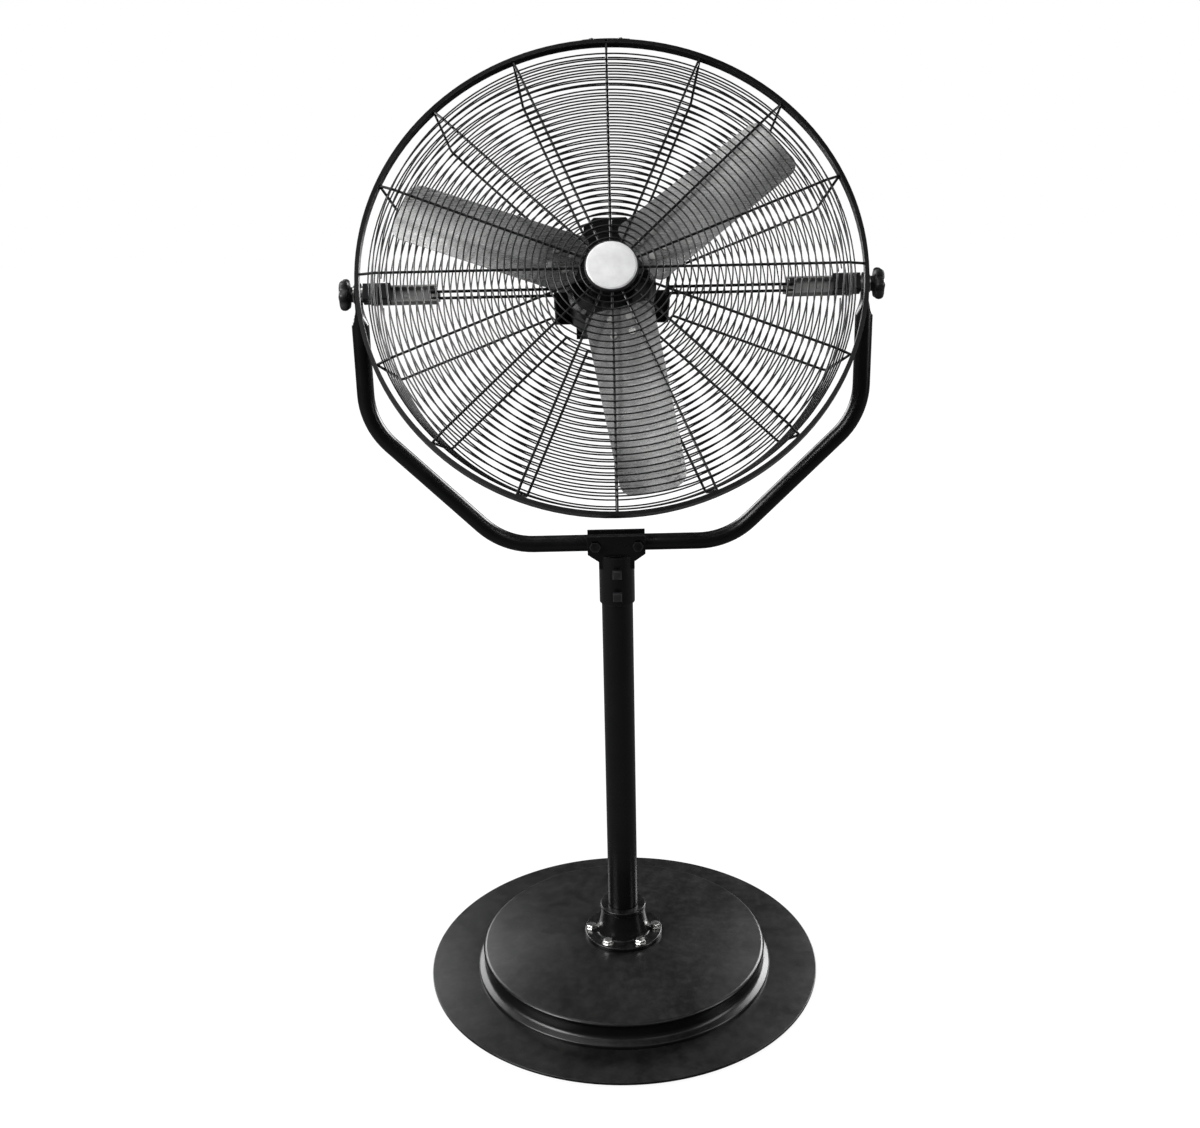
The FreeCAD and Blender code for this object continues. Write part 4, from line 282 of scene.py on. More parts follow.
def patchy(tree, patches, colour, shades):
    """A colour that drifts between a darker and a paler shade of itself."""
    dark, pale = [tuple(min(1.0, part * share) for part in colour) + (1.0,) for share in shades]
    return blend_colour(tree, patches, dark, pale)


def new_finish(name):
    """An empty material: the material, its tree, the piece's own coordinates and its normals."""
    material = bpy.data.materials.new(name)
    material.use_nodes = True
    tree = material.node_tree
    tree.nodes.clear()
    place = put(tree, "ShaderNodeTexCoord", {}).outputs["Object"]
    facing = put(tree, "ShaderNodeNewGeometry", {}).outputs["Normal"]
    return material, tree, place, facing


def powder_coat(name, colour, sheen, grain, dust, wear):
    """A baked coat: colour, middle roughness, depth of the orange peel, dust and rubbed edges."""
    material, tree, place, facing = new_finish(name)
    coat = put(tree, "ShaderNodeGroup", {"Vector": place}, node_tree=grain_group)
    dusty = put(tree, "ShaderNodeGroup", {"Vector": place, "Normal": facing, "Amount": dust},
                node_tree=dust_group)
    rubbed = put(tree, "ShaderNodeGroup",
                 {"Vector": place, "Normal": facing, "Width": COAT_EDGE, "Amount": wear},
                 node_tree=wear_group)
    tone = patchy(tree, coat.outputs["Patches"], colour, COAT_SHADES)
    tone = blend_colour(tree, dusty.outputs["Dust"], tone, DUST_COLOUR)
    tone = blend_colour(tree, rubbed.outputs["Wear"], tone, BARE_STEEL)
    rough = spread(tree, coat.outputs["Patches"], 0.0, 1.0, sheen - COAT_DRIFT, sheen + COAT_DRIFT)
    rough = worked(tree, "MULTIPLY_ADD", dusty.outputs["Dust"], DUST_DULLS, rough)
    bump = put(tree, "ShaderNodeBump",
               {"Height": coat.outputs["Height"], "Strength": COAT_PEEL, "Distance": grain})
    skin = put(tree, "ShaderNodeBsdfPrincipled",
               {"Base Color": tone, "Roughness": rough, "Metallic": rubbed.outputs["Wear"],
                "Normal": bump.outputs[0]})
    put(tree, "ShaderNodeOutputMaterial", {"Surface": skin.outputs[0]})
    return material


def plated_metal(name, colour, sheen, stretch, turn=0.0, painted_shade=None):
    """Bare or plated metal with scratches: stretch squeezes the noise across them, and turn sets
    their direction about Y. Where a painted-shade group is given, its mask darkens the metal with painted
    shade."""
    material, tree, place, facing = new_finish(name)
    along = put(tree, "ShaderNodeMapping",
                {"Vector": place, "Rotation": (0.0, turn, 0.0), "Scale": stretch})
    scratches = noise(tree, along.outputs[0], 60.0, 5.0, 0.7)
    haze = put(tree, "ShaderNodeGroup", {"Vector": place, "Fine Scale": 400.0, "Broad Scale": 22.0},
               node_tree=grain_group)
    rubbed = put(tree, "ShaderNodeGroup",
                 {"Vector": place, "Normal": facing, "Width": PLATING_EDGE, "Amount": PLATING_WEAR},
                 node_tree=wear_group)
    tone = patchy(tree, haze.outputs["Patches"], colour, PLATING_SHADES)
    tone = blend_colour(tree, rubbed.outputs["Wear"], tone, POLISHED)
    if painted_shade is not None:
        # painted shade: the metal darkens towards this colour where the group's mask is
        hub_shading = put(tree, "ShaderNodeGroup", {"Vector": place}, node_tree=painted_shade)
        tone = blend_colour(tree, hub_shading.outputs["Hub Shade"], tone, HUB_SHADE_COLOUR)
    rough = spread(tree, scratches, *SCRATCHES, *[sheen + drift for drift in PLATING_DRIFT])
    bump = put(tree, "ShaderNodeBump",
               {"Height": scratches, "Strength": SCRATCH_STRENGTH, "Distance": SCRATCH_DEPTH})
    skin = put(tree, "ShaderNodeBsdfPrincipled",
               {"Base Color": tone, "Roughness": rough, "Metallic": 1.0, "Normal": bump.outputs[0]})
    put(tree, "ShaderNodeOutputMaterial", {"Surface": skin.outputs[0]})
    return material


def moulded(name, colour, sheen, grain, dust=0.1):
    """Moulded plastic or rubber: the mould's fine texture, and gloss that hands have made uneven."""
    material, tree, place, facing = new_finish(name)
    texture = put(tree, "ShaderNodeGroup", {"Vector": place, "Fine Scale": 700.0, "Broad Scale": 40.0},
                  node_tree=grain_group)
    dusty = put(tree, "ShaderNodeGroup",
                {"Vector": place, "Normal": facing, "Amount": dust, "Scale": 140.0},
                node_tree=dust_group)
    tone = patchy(tree, texture.outputs["Patches"], colour, MOULD_SHADES)
    tone = blend_colour(tree, dusty.outputs["Dust"], tone, PALE_DUST)
    rough = spread(tree, texture.outputs["Patches"], 0.0, 1.0, *[sheen + drift for drift in MOULD_DRIFT])
    bump = put(tree, "ShaderNodeBump",
               {"Height": texture.outputs["Height"], "Strength": MOULD_STRENGTH, "Distance": grain})
    skin = put(tree, "ShaderNodeBsdfPrincipled",
               {"Base Color": tone, "Roughness": rough, "Normal": bump.outputs[0]})
    put(tree, "ShaderNodeOutputMaterial", {"Surface": skin.outputs[0]})
    return material


def dress(material, *nodes):
    """Gives CAD nodes a material in all their slots."""
    for node in nodes:
        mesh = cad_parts[node].data
        if not mesh.materials:
            mesh.materials.append(material)
        for index in range(len(mesh.materials)):
            mesh.materials[index] = material


def rounded(corners):
    """Points of an outline through corners (radius, height, rounding), each corner a short curve."""
    points = []
    count = len(corners)
    for index, (radius, height, rounding) in enumerate(corners):
        here = Vector((radius, height))
        if not rounding:
            points.append(here)
            continue
        before = Vector(corners[index - 1][:2])
        after = Vector(corners[(index + 1) % count][:2])
        enter = here + (before - here).normalized() * rounding
        leave = here + (after - here).normalized() * rounding
        for step in range(CORNER_STEPS + 1):
            share = step / CORNER_STEPS
            points.append(enter * (1 - share) ** 2 + here * 2 * share * (1 - share) + leave * share ** 2)
    return points


def skinned(name, rings, place=None):
    """A closed mesh over rings of points, each joined to the next and the last one to the first.
    A ring of one point is an end on the axis."""
    shape = bmesh.new()
    loops = [[shape.verts.new(point) for point in ring] for ring in rings]
    for index, loop in enumerate(loops):
        following = loops[(index + 1) % len(loops)]
        steps = max(len(loop), len(following))
        if steps == 1:
            continue
        for step in range(steps):
            corners = [loop[step % len(loop)], loop[(step + 1) % len(loop)],
                       following[(step + 1) % len(following)], following[step % len(following)]]
            face = []
            for corner in corners:
                if corner not in face:
                    face.append(corner)
            shape.faces.new(face)
    bmesh.ops.recalc_face_normals(shape, faces=shape.faces)
    mesh = bpy.data.meshes.new(name)
    shape.to_mesh(mesh)
    shape.free()
    if place is not None:
        mesh.transform(place)
    return mesh


def turned(name, outline, steps, place=None):
    """A mesh turned about Z from a closed outline of (radius, height) points."""
    angles = [2 * math.pi * step / steps for step in range(steps)]
    rings = []
    for radius, height in outline:
        if radius < ON_AXIS:
            rings.append([(0.0, 0.0, height)])
        else:
            rings.append([(radius * math.cos(angle), radius * math.sin(angle), height)
                          for angle in angles])
    return skinned(name, rings, place)


def finished(name, mesh, body, replaced=(), material=None, sharp=32.0):
    """Links a mesh as a piece that rides on a body, with smooth faces and sharp corners kept."""
    mesh.polygons.foreach_set("use_smooth", [True] * len(mesh.polygons))
    mesh.set_sharp_from_angle(angle=math.radians(sharp))
    if material is not None:
        mesh.materials.clear()
        mesh.materials.append(material)
    piece = bpy.data.objects.new(name, mesh)
    scene.collection.objects.link(piece)
    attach(piece, body)
    if replaced:
        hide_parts(*replaced)
    return piece


base_coat = powder_coat("base_coat", (0.005, 0.005, 0.0054), sheen=0.31, grain=0.0001,
                        dust=0.06, wear=0.25)
bright_zinc = plated_metal("bright_zinc", (0.66, 0.66, 0.64), sheen=0.28, stretch=(1.0, 1.0, 1.0))
pad_rubber = moulded("pad_rubber", (0.02, 0.02, 0.02), sheen=0.8, grain=0.0002)

low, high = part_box("base_plate")
plate_outline = rounded([(0.0, low.z, 0), (high.x, low.z, PLATE_ROUNDING),
                         (high.x, high.z, PLATE_ROUNDING), (0.0, high.z, 0)])
finished("floor_plate", turned("floor_plate", plate_outline, PLATE_STEPS), "stand",
         ["base_plate"], base_coat)
dress(pad_rubber, "floor_pads")
dress(bright_zinc, "plate_screws")


# Dome cover
# Spun from 2 mm sheet: a rolled lip on the plate, a narrow neck, a rolled shoulder and a
# shallow cone up to the socket. It hides the cast weight and is held down by the socket.
DOME_WALL = 0.002
DOME_STEPS = 192
DOME_HOLE = 0.034
LIP_HEIGHT = 0.007
NECK_RISE = 0.006
NECK_INSET = 0.016
NECK_ROUNDING = 0.008
SHOULDER_HEIGHT = 0.043
SHOULDER_INSET = 0.011
SHOULDER_STEP = 0.004
SEAT_RADIUS = 0.082
SEAT_APRON = 0.03
APRON_DROP = 0.0022
INSIDE_INSET = 0.006
INSIDE_STEP = 0.001

frame_coat = powder_coat("frame_coat", (0.004, 0.004, 0.0044), sheen=0.26, grain=0.0001,
                         dust=0.06, wear=0.25)
low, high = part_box("base_dome")
rim = high.x
neck = rim - NECK_INSET
shoulder = rim - SHOULDER_INSET
lip_top = low.z + LIP_HEIGHT
shoulder_top = low.z + SHOULDER_HEIGHT
dome_corners = [
    # radius, height, rounding: up the outside, and back down the inside
    (rim - DOME_WALL, low.z, 0),
    (rim, low.z, 0),
    (rim, lip_top, 0.003),
    (neck, lip_top + NECK_RISE, NECK_ROUNDING),
    (neck, shoulder_top - NECK_RISE, NECK_ROUNDING),
    (shoulder, shoulder_top, 0.0025),
    (shoulder - SHOULDER_STEP, shoulder_top + SHOULDER_STEP, 0.0028),
    (SEAT_RADIUS + SEAT_APRON, high.z - APRON_DROP, 0.02),
    (SEAT_RADIUS, high.z, 0.004),
    (DOME_HOLE, high.z, 0),
    (DOME_HOLE, high.z - DOME_WALL, 0),
    (SEAT_RADIUS, high.z - DOME_WALL, 0),
    (shoulder - INSIDE_INSET, shoulder_top + INSIDE_STEP, 0),
    (neck - DOME_WALL, shoulder_top - NECK_RISE, 0),
    (neck - DOME_WALL, lip_top + NECK_RISE, 0),
    (rim - DOME_WALL, lip_top - INSIDE_STEP, 0),
]
finished("spun_dome", turned("spun_dome", rounded(dome_corners), DOME_STEPS), "stand",
         ["base_dome"], base_coat, sharp=40.0)
dress(frame_coat, "ballast")


# Pole socket and pole
# A cast bell on a round flange, turned true where the pole goes in and coated black. Six
# plated hexagon bolts with washers hold it through the dome to the cast weight.
SOCKET_STEPS = 96
SOCKET_BOLTS = 6
SOCKET_BOLT_CIRCLE = 0.063
SOCKET_BOLT_TURN = math.radians(30)
BOLT_FLATS = 0.017
BOLT_HEAD = 0.0065
WASHER_RADIUS = 0.011
WASHER = 0.002
WASHER_SIDES = 28
FLANGE = 0.008
BORE_PLAY = 0.0002
BELL_FOOT = 0.0515
BELL_WAIST = 0.0475
WAIST_RISE = 0.022
BELL_NECK = 0.0425
BELL_NECK_RISE = 0.05
BELL_TOP = 0.0422
COLLAR_RADIUS = 0.0445
COLLAR_HEIGHT = 0.0075
COLLAR_SLOPE = 0.0015

low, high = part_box("pole_socket")
flange_top = low.z + FLANGE
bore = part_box("pole")[1].x + BORE_PLAY
collar_low = high.z - COLLAR_HEIGHT
socket_corners = [
    # radius, height, rounding
    (bore, low.z, 0),
    (high.x, low.z, 0.001),
    (high.x, flange_top, 0.0025),
    (BELL_FOOT, flange_top, 0.004),
    (BELL_WAIST, low.z + WAIST_RISE, 0.008),
    (BELL_NECK, low.z + BELL_NECK_RISE, 0.012),
    (BELL_TOP, collar_low - COLLAR_SLOPE, 0.002),
    (COLLAR_RADIUS, collar_low, 0.0015),
    (COLLAR_RADIUS, high.z, 0.002),
    (bore, high.z, 0.0012),
]
finished("cast_socket", turned("cast_socket", rounded(socket_corners), SOCKET_STEPS), "stand",
         ["pole_socket"], frame_coat, sharp=50.0)
dress(frame_coat, "pole")


def shape_tree(name, sizes):
    """A geometry tree with a named input, and its starting value, for each size."""
    kinds = {int: "NodeSocketInt", float: "NodeSocketFloat", tuple: "NodeSocketVector"}
    tree = bpy.data.node_groups.new(name, "GeometryNodeTree")
    tree.interface.new_socket("Geometry", in_out="OUTPUT", socket_type="NodeSocketGeometry")
    tree.interface.new_socket("Points", in_out="INPUT", socket_type="NodeSocketGeometry")
    tree.interface.new_socket("Coat", in_out="INPUT", socket_type="NodeSocketMaterial")
    for word, start in sizes.items():
        socket = tree.interface.new_socket(word, in_out="INPUT", socket_type=kinds[type(start)])
        socket.default_value = start
    given = tree.nodes.new("NodeGroupInput").outputs
    target = tree.nodes.new("NodeGroupOutput")
    return tree, given, target


def end_tree(tree, target, given, geometry):
    """Makes the instances real, shades them smooth and gives them their material."""
    real = put(tree, "GeometryNodeRealizeInstances", {0: geometry})
    smooth = put(tree, "GeometryNodeSetShadeSmooth", {"Geometry": real.outputs[0]})
    coated = put(tree, "GeometryNodeSetMaterial", {"Geometry": smooth.outputs[0], "Material": given["Coat"]})
    tree.links.new(coated.outputs[0], target.inputs["Geometry"])


def grown(name, tree, sizes, coat, points=(), place=None):
    """The plain mesh that a tree makes from its sizes and a few points."""
    seeds = bpy.data.meshes.new(name + "_seeds")
    seeds.from_pydata([tuple(point) for point in points], [], [])
    carrier = bpy.data.objects.new(name + "_seeds", seeds)
    scene.collection.objects.link(carrier)
    modifier = carrier.modifiers.new("shape", "NODES")
    modifier.node_group = tree
    wanted = dict(sizes, Coat=coat)
    for item in tree.interface.items_tree:
        if item.in_out == "INPUT" and item.name in wanted:
            modifier[item.identifier] = wanted[item.name]
    graph = bpy.context.evaluated_depsgraph_get()
    mesh = bpy.data.meshes.new_from_object(carrier.evaluated_get(graph))
    bpy.data.objects.remove(carrier)
    mesh.name = name
    if place is not None:
        mesh.transform(place)
    return mesh


def flat_headed_tree():
    """Heads with flat sides at every point, on washers where these have a height: hexagon bolts,
    nuts and square-headed screws."""
    tree, given, target = shape_tree("flat_headed", {
        "Sides": 6, "Flats": 0.017, "Height": 0.0065, "Chamfer": 0.0011, "Washer Radius": 0.011,
        "Washer Height": 0.002, "Facing": (0.0, 0.0, 1.0), "Turn": 0.0})
    narrow = worked(tree, "COSINE", worked(tree, "DIVIDE", math.pi, given["Sides"]))
    corner = worked(tree, "DIVIDE", worked(tree, "MULTIPLY", given["Flats"], 0.5), narrow)
    body = worked(tree, "SUBTRACT", given["Height"], given["Chamfer"])
    prism = put(tree, "GeometryNodeMeshCylinder",
                {"Vertices": given["Sides"], "Radius": corner, "Depth": body})
    crown = put(tree, "GeometryNodeExtrudeMesh",
                {"Mesh": prism.outputs[0], "Selection": prism.outputs["Top"],
                 "Offset Scale": given["Chamfer"]})
    shrink = worked(tree, "SUBTRACT", 1.0, worked(tree, "DIVIDE", given["Chamfer"], corner))
    taper = put(tree, "GeometryNodeScaleElements",
                {"Geometry": crown.outputs[0], "Selection": crown.outputs["Top"], "Scale": shrink})
    middle = worked(tree, "MULTIPLY_ADD", body, 0.5, given["Washer Height"])
    lift = put(tree, "ShaderNodeCombineXYZ", {"Z": middle})
    spin = put(tree, "ShaderNodeCombineXYZ", {"Z": given["Turn"]})
    head = put(tree, "GeometryNodeTransform",
               {"Geometry": taper.outputs[0], "Translation": lift.outputs[0],
                "Rotation": spin.outputs[0]})
    washer = put(tree, "GeometryNodeMeshCylinder",
                 {"Vertices": WASHER_SIDES, "Radius": given["Washer Radius"],
                  "Depth": given["Washer Height"]})
    washer_middle = worked(tree, "MULTIPLY", given["Washer Height"], 0.5)
    washer_lift = put(tree, "ShaderNodeCombineXYZ", {"Z": washer_middle})
    seated = put(tree, "GeometryNodeTransform",
                 {"Geometry": washer.outputs[0], "Translation": washer_lift.outputs[0]})
    joined = tree.nodes.new("GeometryNodeJoinGeometry")
    tree.links.new(head.outputs[0], joined.inputs[0])
    tree.links.new(seated.outputs[0], joined.inputs[0])
    has_washer = worked(tree, "GREATER_THAN", given["Washer Height"], 0.0)
    fastener = put(tree, "GeometryNodeSwitch", {0: has_washer, 1: head.outputs[0], 2: joined.outputs[0]},
                   input_type="GEOMETRY")
    aim = put(tree, "FunctionNodeAlignRotationToVector", {"Vector": given["Facing"]}, axis="Z")
    heads = put(tree, "GeometryNodeInstanceOnPoints",
                {"Points": given["Points"], "Instance": fastener.outputs[0], "Rotation": aim.outputs[0]})
    end_tree(tree, target, given, heads.outputs[0])
    return tree


flat_headed = flat_headed_tree()


def on_circle(radius, level, count):
    """Points spread evenly on a level circle round the Z axis."""
    angles = [2 * math.pi * index / count for index in range(count)]
    return [(radius * math.cos(angle), radius * math.sin(angle), level) for angle in angles]


bolt_heads = grown("socket_bolt_heads", flat_headed,
                   {"Flats": BOLT_FLATS, "Height": BOLT_HEAD, "Washer Radius": WASHER_RADIUS,
                    "Washer Height": WASHER, "Turn": SOCKET_BOLT_TURN},
                   bright_zinc, on_circle(SOCKET_BOLT_CIRCLE, flange_top, SOCKET_BOLTS))
finished("socket_bolt_heads", bolt_heads, "stand", ["socket_bolts"])


# Yoke bracket and yoke
# A short sleeve that turns on the pole, welded under a folded saddle that the bent cross
# tube is bolted into. Two square-headed screws at the front clamp the sleeve where it is set.
SLEEVE_SCREW_LEVELS = (0.8467, 0.8037)
SLEEVE_SCREW_FACE = 0.03478
SQUARE_HEAD = 0.016
SQUARE_HEIGHT = 0.009
SQUARE_CHAMFER = 0.0016
SQUARE_TURN = math.radians(45)
SCREW_COLLAR_RADIUS = 0.0058
SCREW_COLLAR = 0.0025
SADDLE_BOLT_OFFSET = 0.0385
CROSS_TUBE_RADIUS = 0.015
CROSS_LEVEL = 0.894
SADDLE_GAP = 0.0003
SADDLE_SHEET = 0.005
FORWARD = (0.0, -1.0, 0.0)
BACKWARD = (0.0, 1.0, 0.0)

dark_steel = plated_metal("dark_steel", (0.16, 0.16, 0.165), sheen=0.38, stretch=(1.0, 1.0, 1.0))
dress(frame_coat, "yoke_bracket", "yoke")
screw_faces = [(0.0, -SLEEVE_SCREW_FACE, level) for level in SLEEVE_SCREW_LEVELS]
screw_heads = grown("sleeve_screw_heads", flat_headed,
                    {"Sides": 4, "Flats": SQUARE_HEAD, "Height": SQUARE_HEIGHT,
                     "Chamfer": SQUARE_CHAMFER, "Washer Radius": SCREW_COLLAR_RADIUS,
                     "Washer Height": SCREW_COLLAR, "Facing": FORWARD, "Turn": SQUARE_TURN},
                    dark_steel, screw_faces)
finished("sleeve_screw_heads", screw_heads, "yoke", ["sleeve_screws"])
saddle_face = CROSS_TUBE_RADIUS + SADDLE_GAP + SADDLE_SHEET
for name, depth, facing in (("saddle_bolt_heads", -saddle_face, FORWARD),
                            ("saddle_nuts", saddle_face, BACKWARD)):
    saddle_heads = grown(name, flat_headed,
                         {"Flats": BOLT_FLATS, "Height": BOLT_HEAD, "Washer Height": 0.0,
                          "Facing": facing},
                         dark_steel, [(side * SADDLE_BOLT_OFFSET, depth, CROSS_LEVEL) for side in (-1, 1)])
    finished(name, saddle_heads, "yoke")
dress(dark_steel, "saddle_bolts")
dress(bright_zinc, "knob_washers")


# Hand knobs
# Black moulded star knobs, six soft lobes round a hub, each on a plated stud that goes
# through the flattened end of the yoke into a block inside the cage. A pressed channel and
# two rods on each side carry the motor from the block.
HEAD_HEIGHT = 1.353
HEAD_TILT = math.radians(-35)
HEAD = Matrix.Translation((0.0, 0.0, HEAD_HEIGHT)) @ Matrix.Rotation(HEAD_TILT, 4, "X")
KNOB_FACE = 0.4393
KNOB_LOBES = 6
KNOB_STEPS = 96
KNOB_RINGS = (
    # distance from the yoke, mean radius, depth of the lobes
    (0.0, 0.0, 0.0), (0.0, 0.0115, 0.0), (0.0012, 0.0128, 0.0), (0.0055, 0.013, 0.0),
    (0.0062, 0.0195, 0.0012), (0.0072, 0.0225, 0.0026), (0.0092, 0.0243, 0.0034),
    (0.013, 0.0252, 0.0038), (0.018, 0.0246, 0.0036), (0.0212, 0.0226, 0.003),
    (0.0228, 0.0192, 0.0018), (0.0231, 0.0155, 0.0006), (0.0222, 0.0135, 0.0),
    (0.0214, 0.0105, 0.0), (0.0212, 0.0, 0.0),
)


def star_knob(name, side):
    """A knob with soft lobes along the pivots' line, on the left (-1) or on the right (1)."""
    angles = [2 * math.pi * step / KNOB_STEPS for step in range(KNOB_STEPS)]
    rings = []
    for reach, radius, depth in KNOB_RINGS:
        across = side * (KNOB_FACE + reach)
        if radius == 0.0:
            rings.append([(across, 0.0, 0.0)])
            continue
        lobes = [radius + depth * math.cos(KNOB_LOBES * angle) for angle in angles]
        rings.append([(across, lobe * math.sin(angle), lobe * math.cos(angle))
                      for lobe, angle in zip(lobes, angles)])
    return skinned(name, rings, HEAD)


black_plastic = moulded("black_plastic", (0.02, 0.02, 0.021), sheen=0.42, grain=0.0001)
zinc_sheet = plated_metal("zinc_sheet", (0.5, 0.5, 0.49), sheen=0.42, stretch=(1.0, 9.0, 9.0))
for word, side in (("left", -1), ("right", 1)):
    finished("star_knob_" + word, star_knob("star_knob_" + word, side), word + "_knob",
             ["knob_" + word], black_plastic, sharp=60.0)
    dress(bright_zinc, "stud_" + word)
    dress(frame_coat, "pivot_block_" + word)
    dress(zinc_sheet, "channel_" + word)
dress(bright_zinc, "pivot_washers")
dress(frame_coat, "support_rods")


# Guards
# Welded cages of round wire, coated black: rings on bent spokes, in front and behind, with
# a hoop at each rim that sits in the clamp ring. The rear cage has more rings up its side.
WIRE = 0.0014
WIRE_SIDES = 8
SPOKE = 0.00225
SPOKE_SIDES = 10
HOOP = 0.0025
HOOP_CIRCLE = 0.42
FACE_DEPTH = -0.090
FACE_FIRST = 0.052
FACE_PITCH = 0.0114
FACE_RINGS = 31
FACE_BEND = 0.012
FACE_CORNER = 0.392
FACE_END = 0.41745
FRONT_HOOP = -0.0812
BACK_DEPTH = 0.0157
BACK_FIRST = 0.112
BACK_PITCH = 0.0117
BACK_RINGS = 24
BACK_BEND = 0.01
BACK_CORNER = 0.388
BACK_END = 0.4152
REAR_HOOP = -0.0742
SPOKES = 16
SPOKE_SET = 8.0
SPOKE_LEFT_OUT = 4.0
SPOKE_START = 0.026
BEND_STEPS = 6
WALL_LEVELS = (-0.021, -0.033, -0.045, -0.057)
BROKEN_LEVELS = (-0.009, 0.003)
BREAK_ANGLE = math.radians(3.6)
NEARLY_A_TURN = 6.28
WELD_GAP = 0.00005
SEAM_WELD = 0.00001


def wire_rings_tree():
    """Round wires bent to rings about Y, one pitch apart, whole ones or open ones."""
    tree, given, target = shape_tree("wire_rings", {
        "First Ring": 0.05, "Ring Pitch": 0.01, "Ring Count": 1, "Wire Radius": 0.0014, "Depth": 0.0,
        "Steps": 145, "Start": 0.0, "Sweep": 2 * math.pi})
    seeds = put(tree, "GeometryNodeMeshLine", {"Count": given["Ring Count"], "Offset": (0.0, 0.0, 0.0)})
    number = put(tree, "GeometryNodeInputIndex", {})
    size = worked(tree, "MULTIPLY_ADD", number.outputs[0], given["Ring Pitch"], given["First Ring"])
    unit = put(tree, "GeometryNodeCurveArc",
               {"Resolution": given["Steps"], "Radius": 1.0, "Start Angle": given["Start"],
                "Sweep Angle": given["Sweep"]}, mode="RADIUS")
    rings = put(tree, "GeometryNodeInstanceOnPoints",
                {"Points": seeds.outputs[0], "Instance": unit.outputs[0], "Scale": size})
    real = put(tree, "GeometryNodeRealizeInstances", {0: rings.outputs[0]})
    section = put(tree, "GeometryNodeCurvePrimitiveCircle",
                  {"Resolution": WIRE_SIDES, "Radius": given["Wire Radius"]})
    is_open = worked(tree, "LESS_THAN", given["Sweep"], NEARLY_A_TURN)
    wires = put(tree, "GeometryNodeCurveToMesh",
                {"Curve": real.outputs[0], "Profile Curve": section.outputs[0], "Fill Caps": is_open})
    closed = put(tree, "GeometryNodeMergeByDistance",
                 {"Geometry": wires.outputs[0], "Distance": SEAM_WELD})
    shift = put(tree, "ShaderNodeCombineXYZ", {"Y": given["Depth"]})
    stood = put(tree, "GeometryNodeTransform",
                {"Geometry": closed.outputs[0], "Translation": shift.outputs[0],
                 "Rotation": (math.radians(90), 0.0, 0.0)})
    end_tree(tree, target, given, stood.outputs[0])
    return tree


def bent_spokes_tree():
    """Spokes round Y, each a wire through three points with one bend. Left Out is the number of the
    spoke in each set that isn't there, or -1 for none."""
    tree, given, target = shape_tree("bent_spokes", {
        "Start": (0.0, 0.0, 0.1), "Corner": (0.0, 0.0, 0.3), "End": (0.0, 0.1, 0.4), "Bend Radius": 0.012,
        "Wire Radius": 0.00225, "Spoke Count": 16, "Left Out": -1.0})
    seeds = put(tree, "GeometryNodeMeshLine", {"Count": 3, "Offset": (0.0, 0.0, 0.001)})
    number = put(tree, "GeometryNodeInputIndex", {})
    choice = tree.nodes.new("GeometryNodeIndexSwitch")
    choice.data_type = "VECTOR"
    choice.index_switch_items.new()
    tree.links.new(number.outputs[0], choice.inputs["Index"])
    for slot, word in enumerate(("Start", "Corner", "End")):
        tree.links.new(given[word], choice.inputs[str(slot)])
    path = put(tree, "GeometryNodeSetPosition",
               {"Geometry": seeds.outputs[0], "Position": choice.outputs[0]})
    line = put(tree, "GeometryNodeMeshToCurve", {"Mesh": path.outputs[0]})
    bend = put(tree, "GeometryNodeFilletCurve",
               {"Curve": line.outputs[0], "Radius": given["Bend Radius"], "Count": BEND_STEPS}, mode="POLY")
    section = put(tree, "GeometryNodeCurvePrimitiveCircle",
                  {"Resolution": SPOKE_SIDES, "Radius": given["Wire Radius"]})
    wire = put(tree, "GeometryNodeCurveToMesh",
               {"Curve": bend.outputs[0], "Profile Curve": section.outputs[0], "Fill Caps": True})
    places = put(tree, "GeometryNodeMeshLine", {"Count": given["Spoke Count"], "Offset": (0.0, 0.0, 0.0)})
    turn = worked(tree, "DIVIDE", 2 * math.pi, given["Spoke Count"])
    about = put(tree, "ShaderNodeCombineXYZ", {"Y": worked(tree, "MULTIPLY", number.outputs[0], turn)})
    in_set = worked(tree, "MODULO", number.outputs[0], SPOKE_SET)
    same = worked(tree, "COMPARE", in_set, given["Left Out"], 0.5)
    kept = put(tree, "FunctionNodeBooleanMath", {0: same}, operation="NOT")
    spokes = put(tree, "GeometryNodeInstanceOnPoints",
                 {"Points": places.outputs[0], "Instance": wire.outputs[0],
                  "Selection": kept.outputs[0], "Rotation": about.outputs[0]})
    end_tree(tree, target, given, spokes.outputs[0])
    return tree


wire_rings = wire_rings_tree()
bent_spokes = bent_spokes_tree()
wire_coat = powder_coat("wire_coat", (0.004, 0.004, 0.0044), sheen=0.34, grain=0.00005,
                        dust=0.04, wear=0.0)


def rings_of(name, radius, depth, wire, more=()):
    """Rings of one wire at one depth of the head, the first one of the given radius."""
    wanted = {"First Ring": radius, "Depth": depth, "Wire Radius": wire}
    wanted.update(more)
    return grown(name, wire_rings, wanted, wire_coat, place=HEAD)


def spokes_of(name, start, corner, end, bend, left_out=-1.0):
    """The spokes of one guard, each through three points (depth, distance from the axis)."""
    wanted = {"Start": (0.0, *start), "Corner": (0.0, *corner), "End": (0.0, *end),
              "Bend Radius": bend, "Wire Radius": SPOKE, "Spoke Count": SPOKES, "Left Out": left_out}
    return grown(name, bent_spokes, wanted, wire_coat, place=HEAD)


def one_guard(name, meshes, replaced):
    """The wires of a guard as one piece."""
    shape = bmesh.new()
    for mesh in meshes:
        shape.from_mesh(mesh)
    whole = bpy.data.meshes.new(name)
    shape.to_mesh(whole)
    shape.free()
    for mesh in meshes:
        bpy.data.meshes.remove(mesh)
    finished(name, whole, "head", replaced, wire_coat)


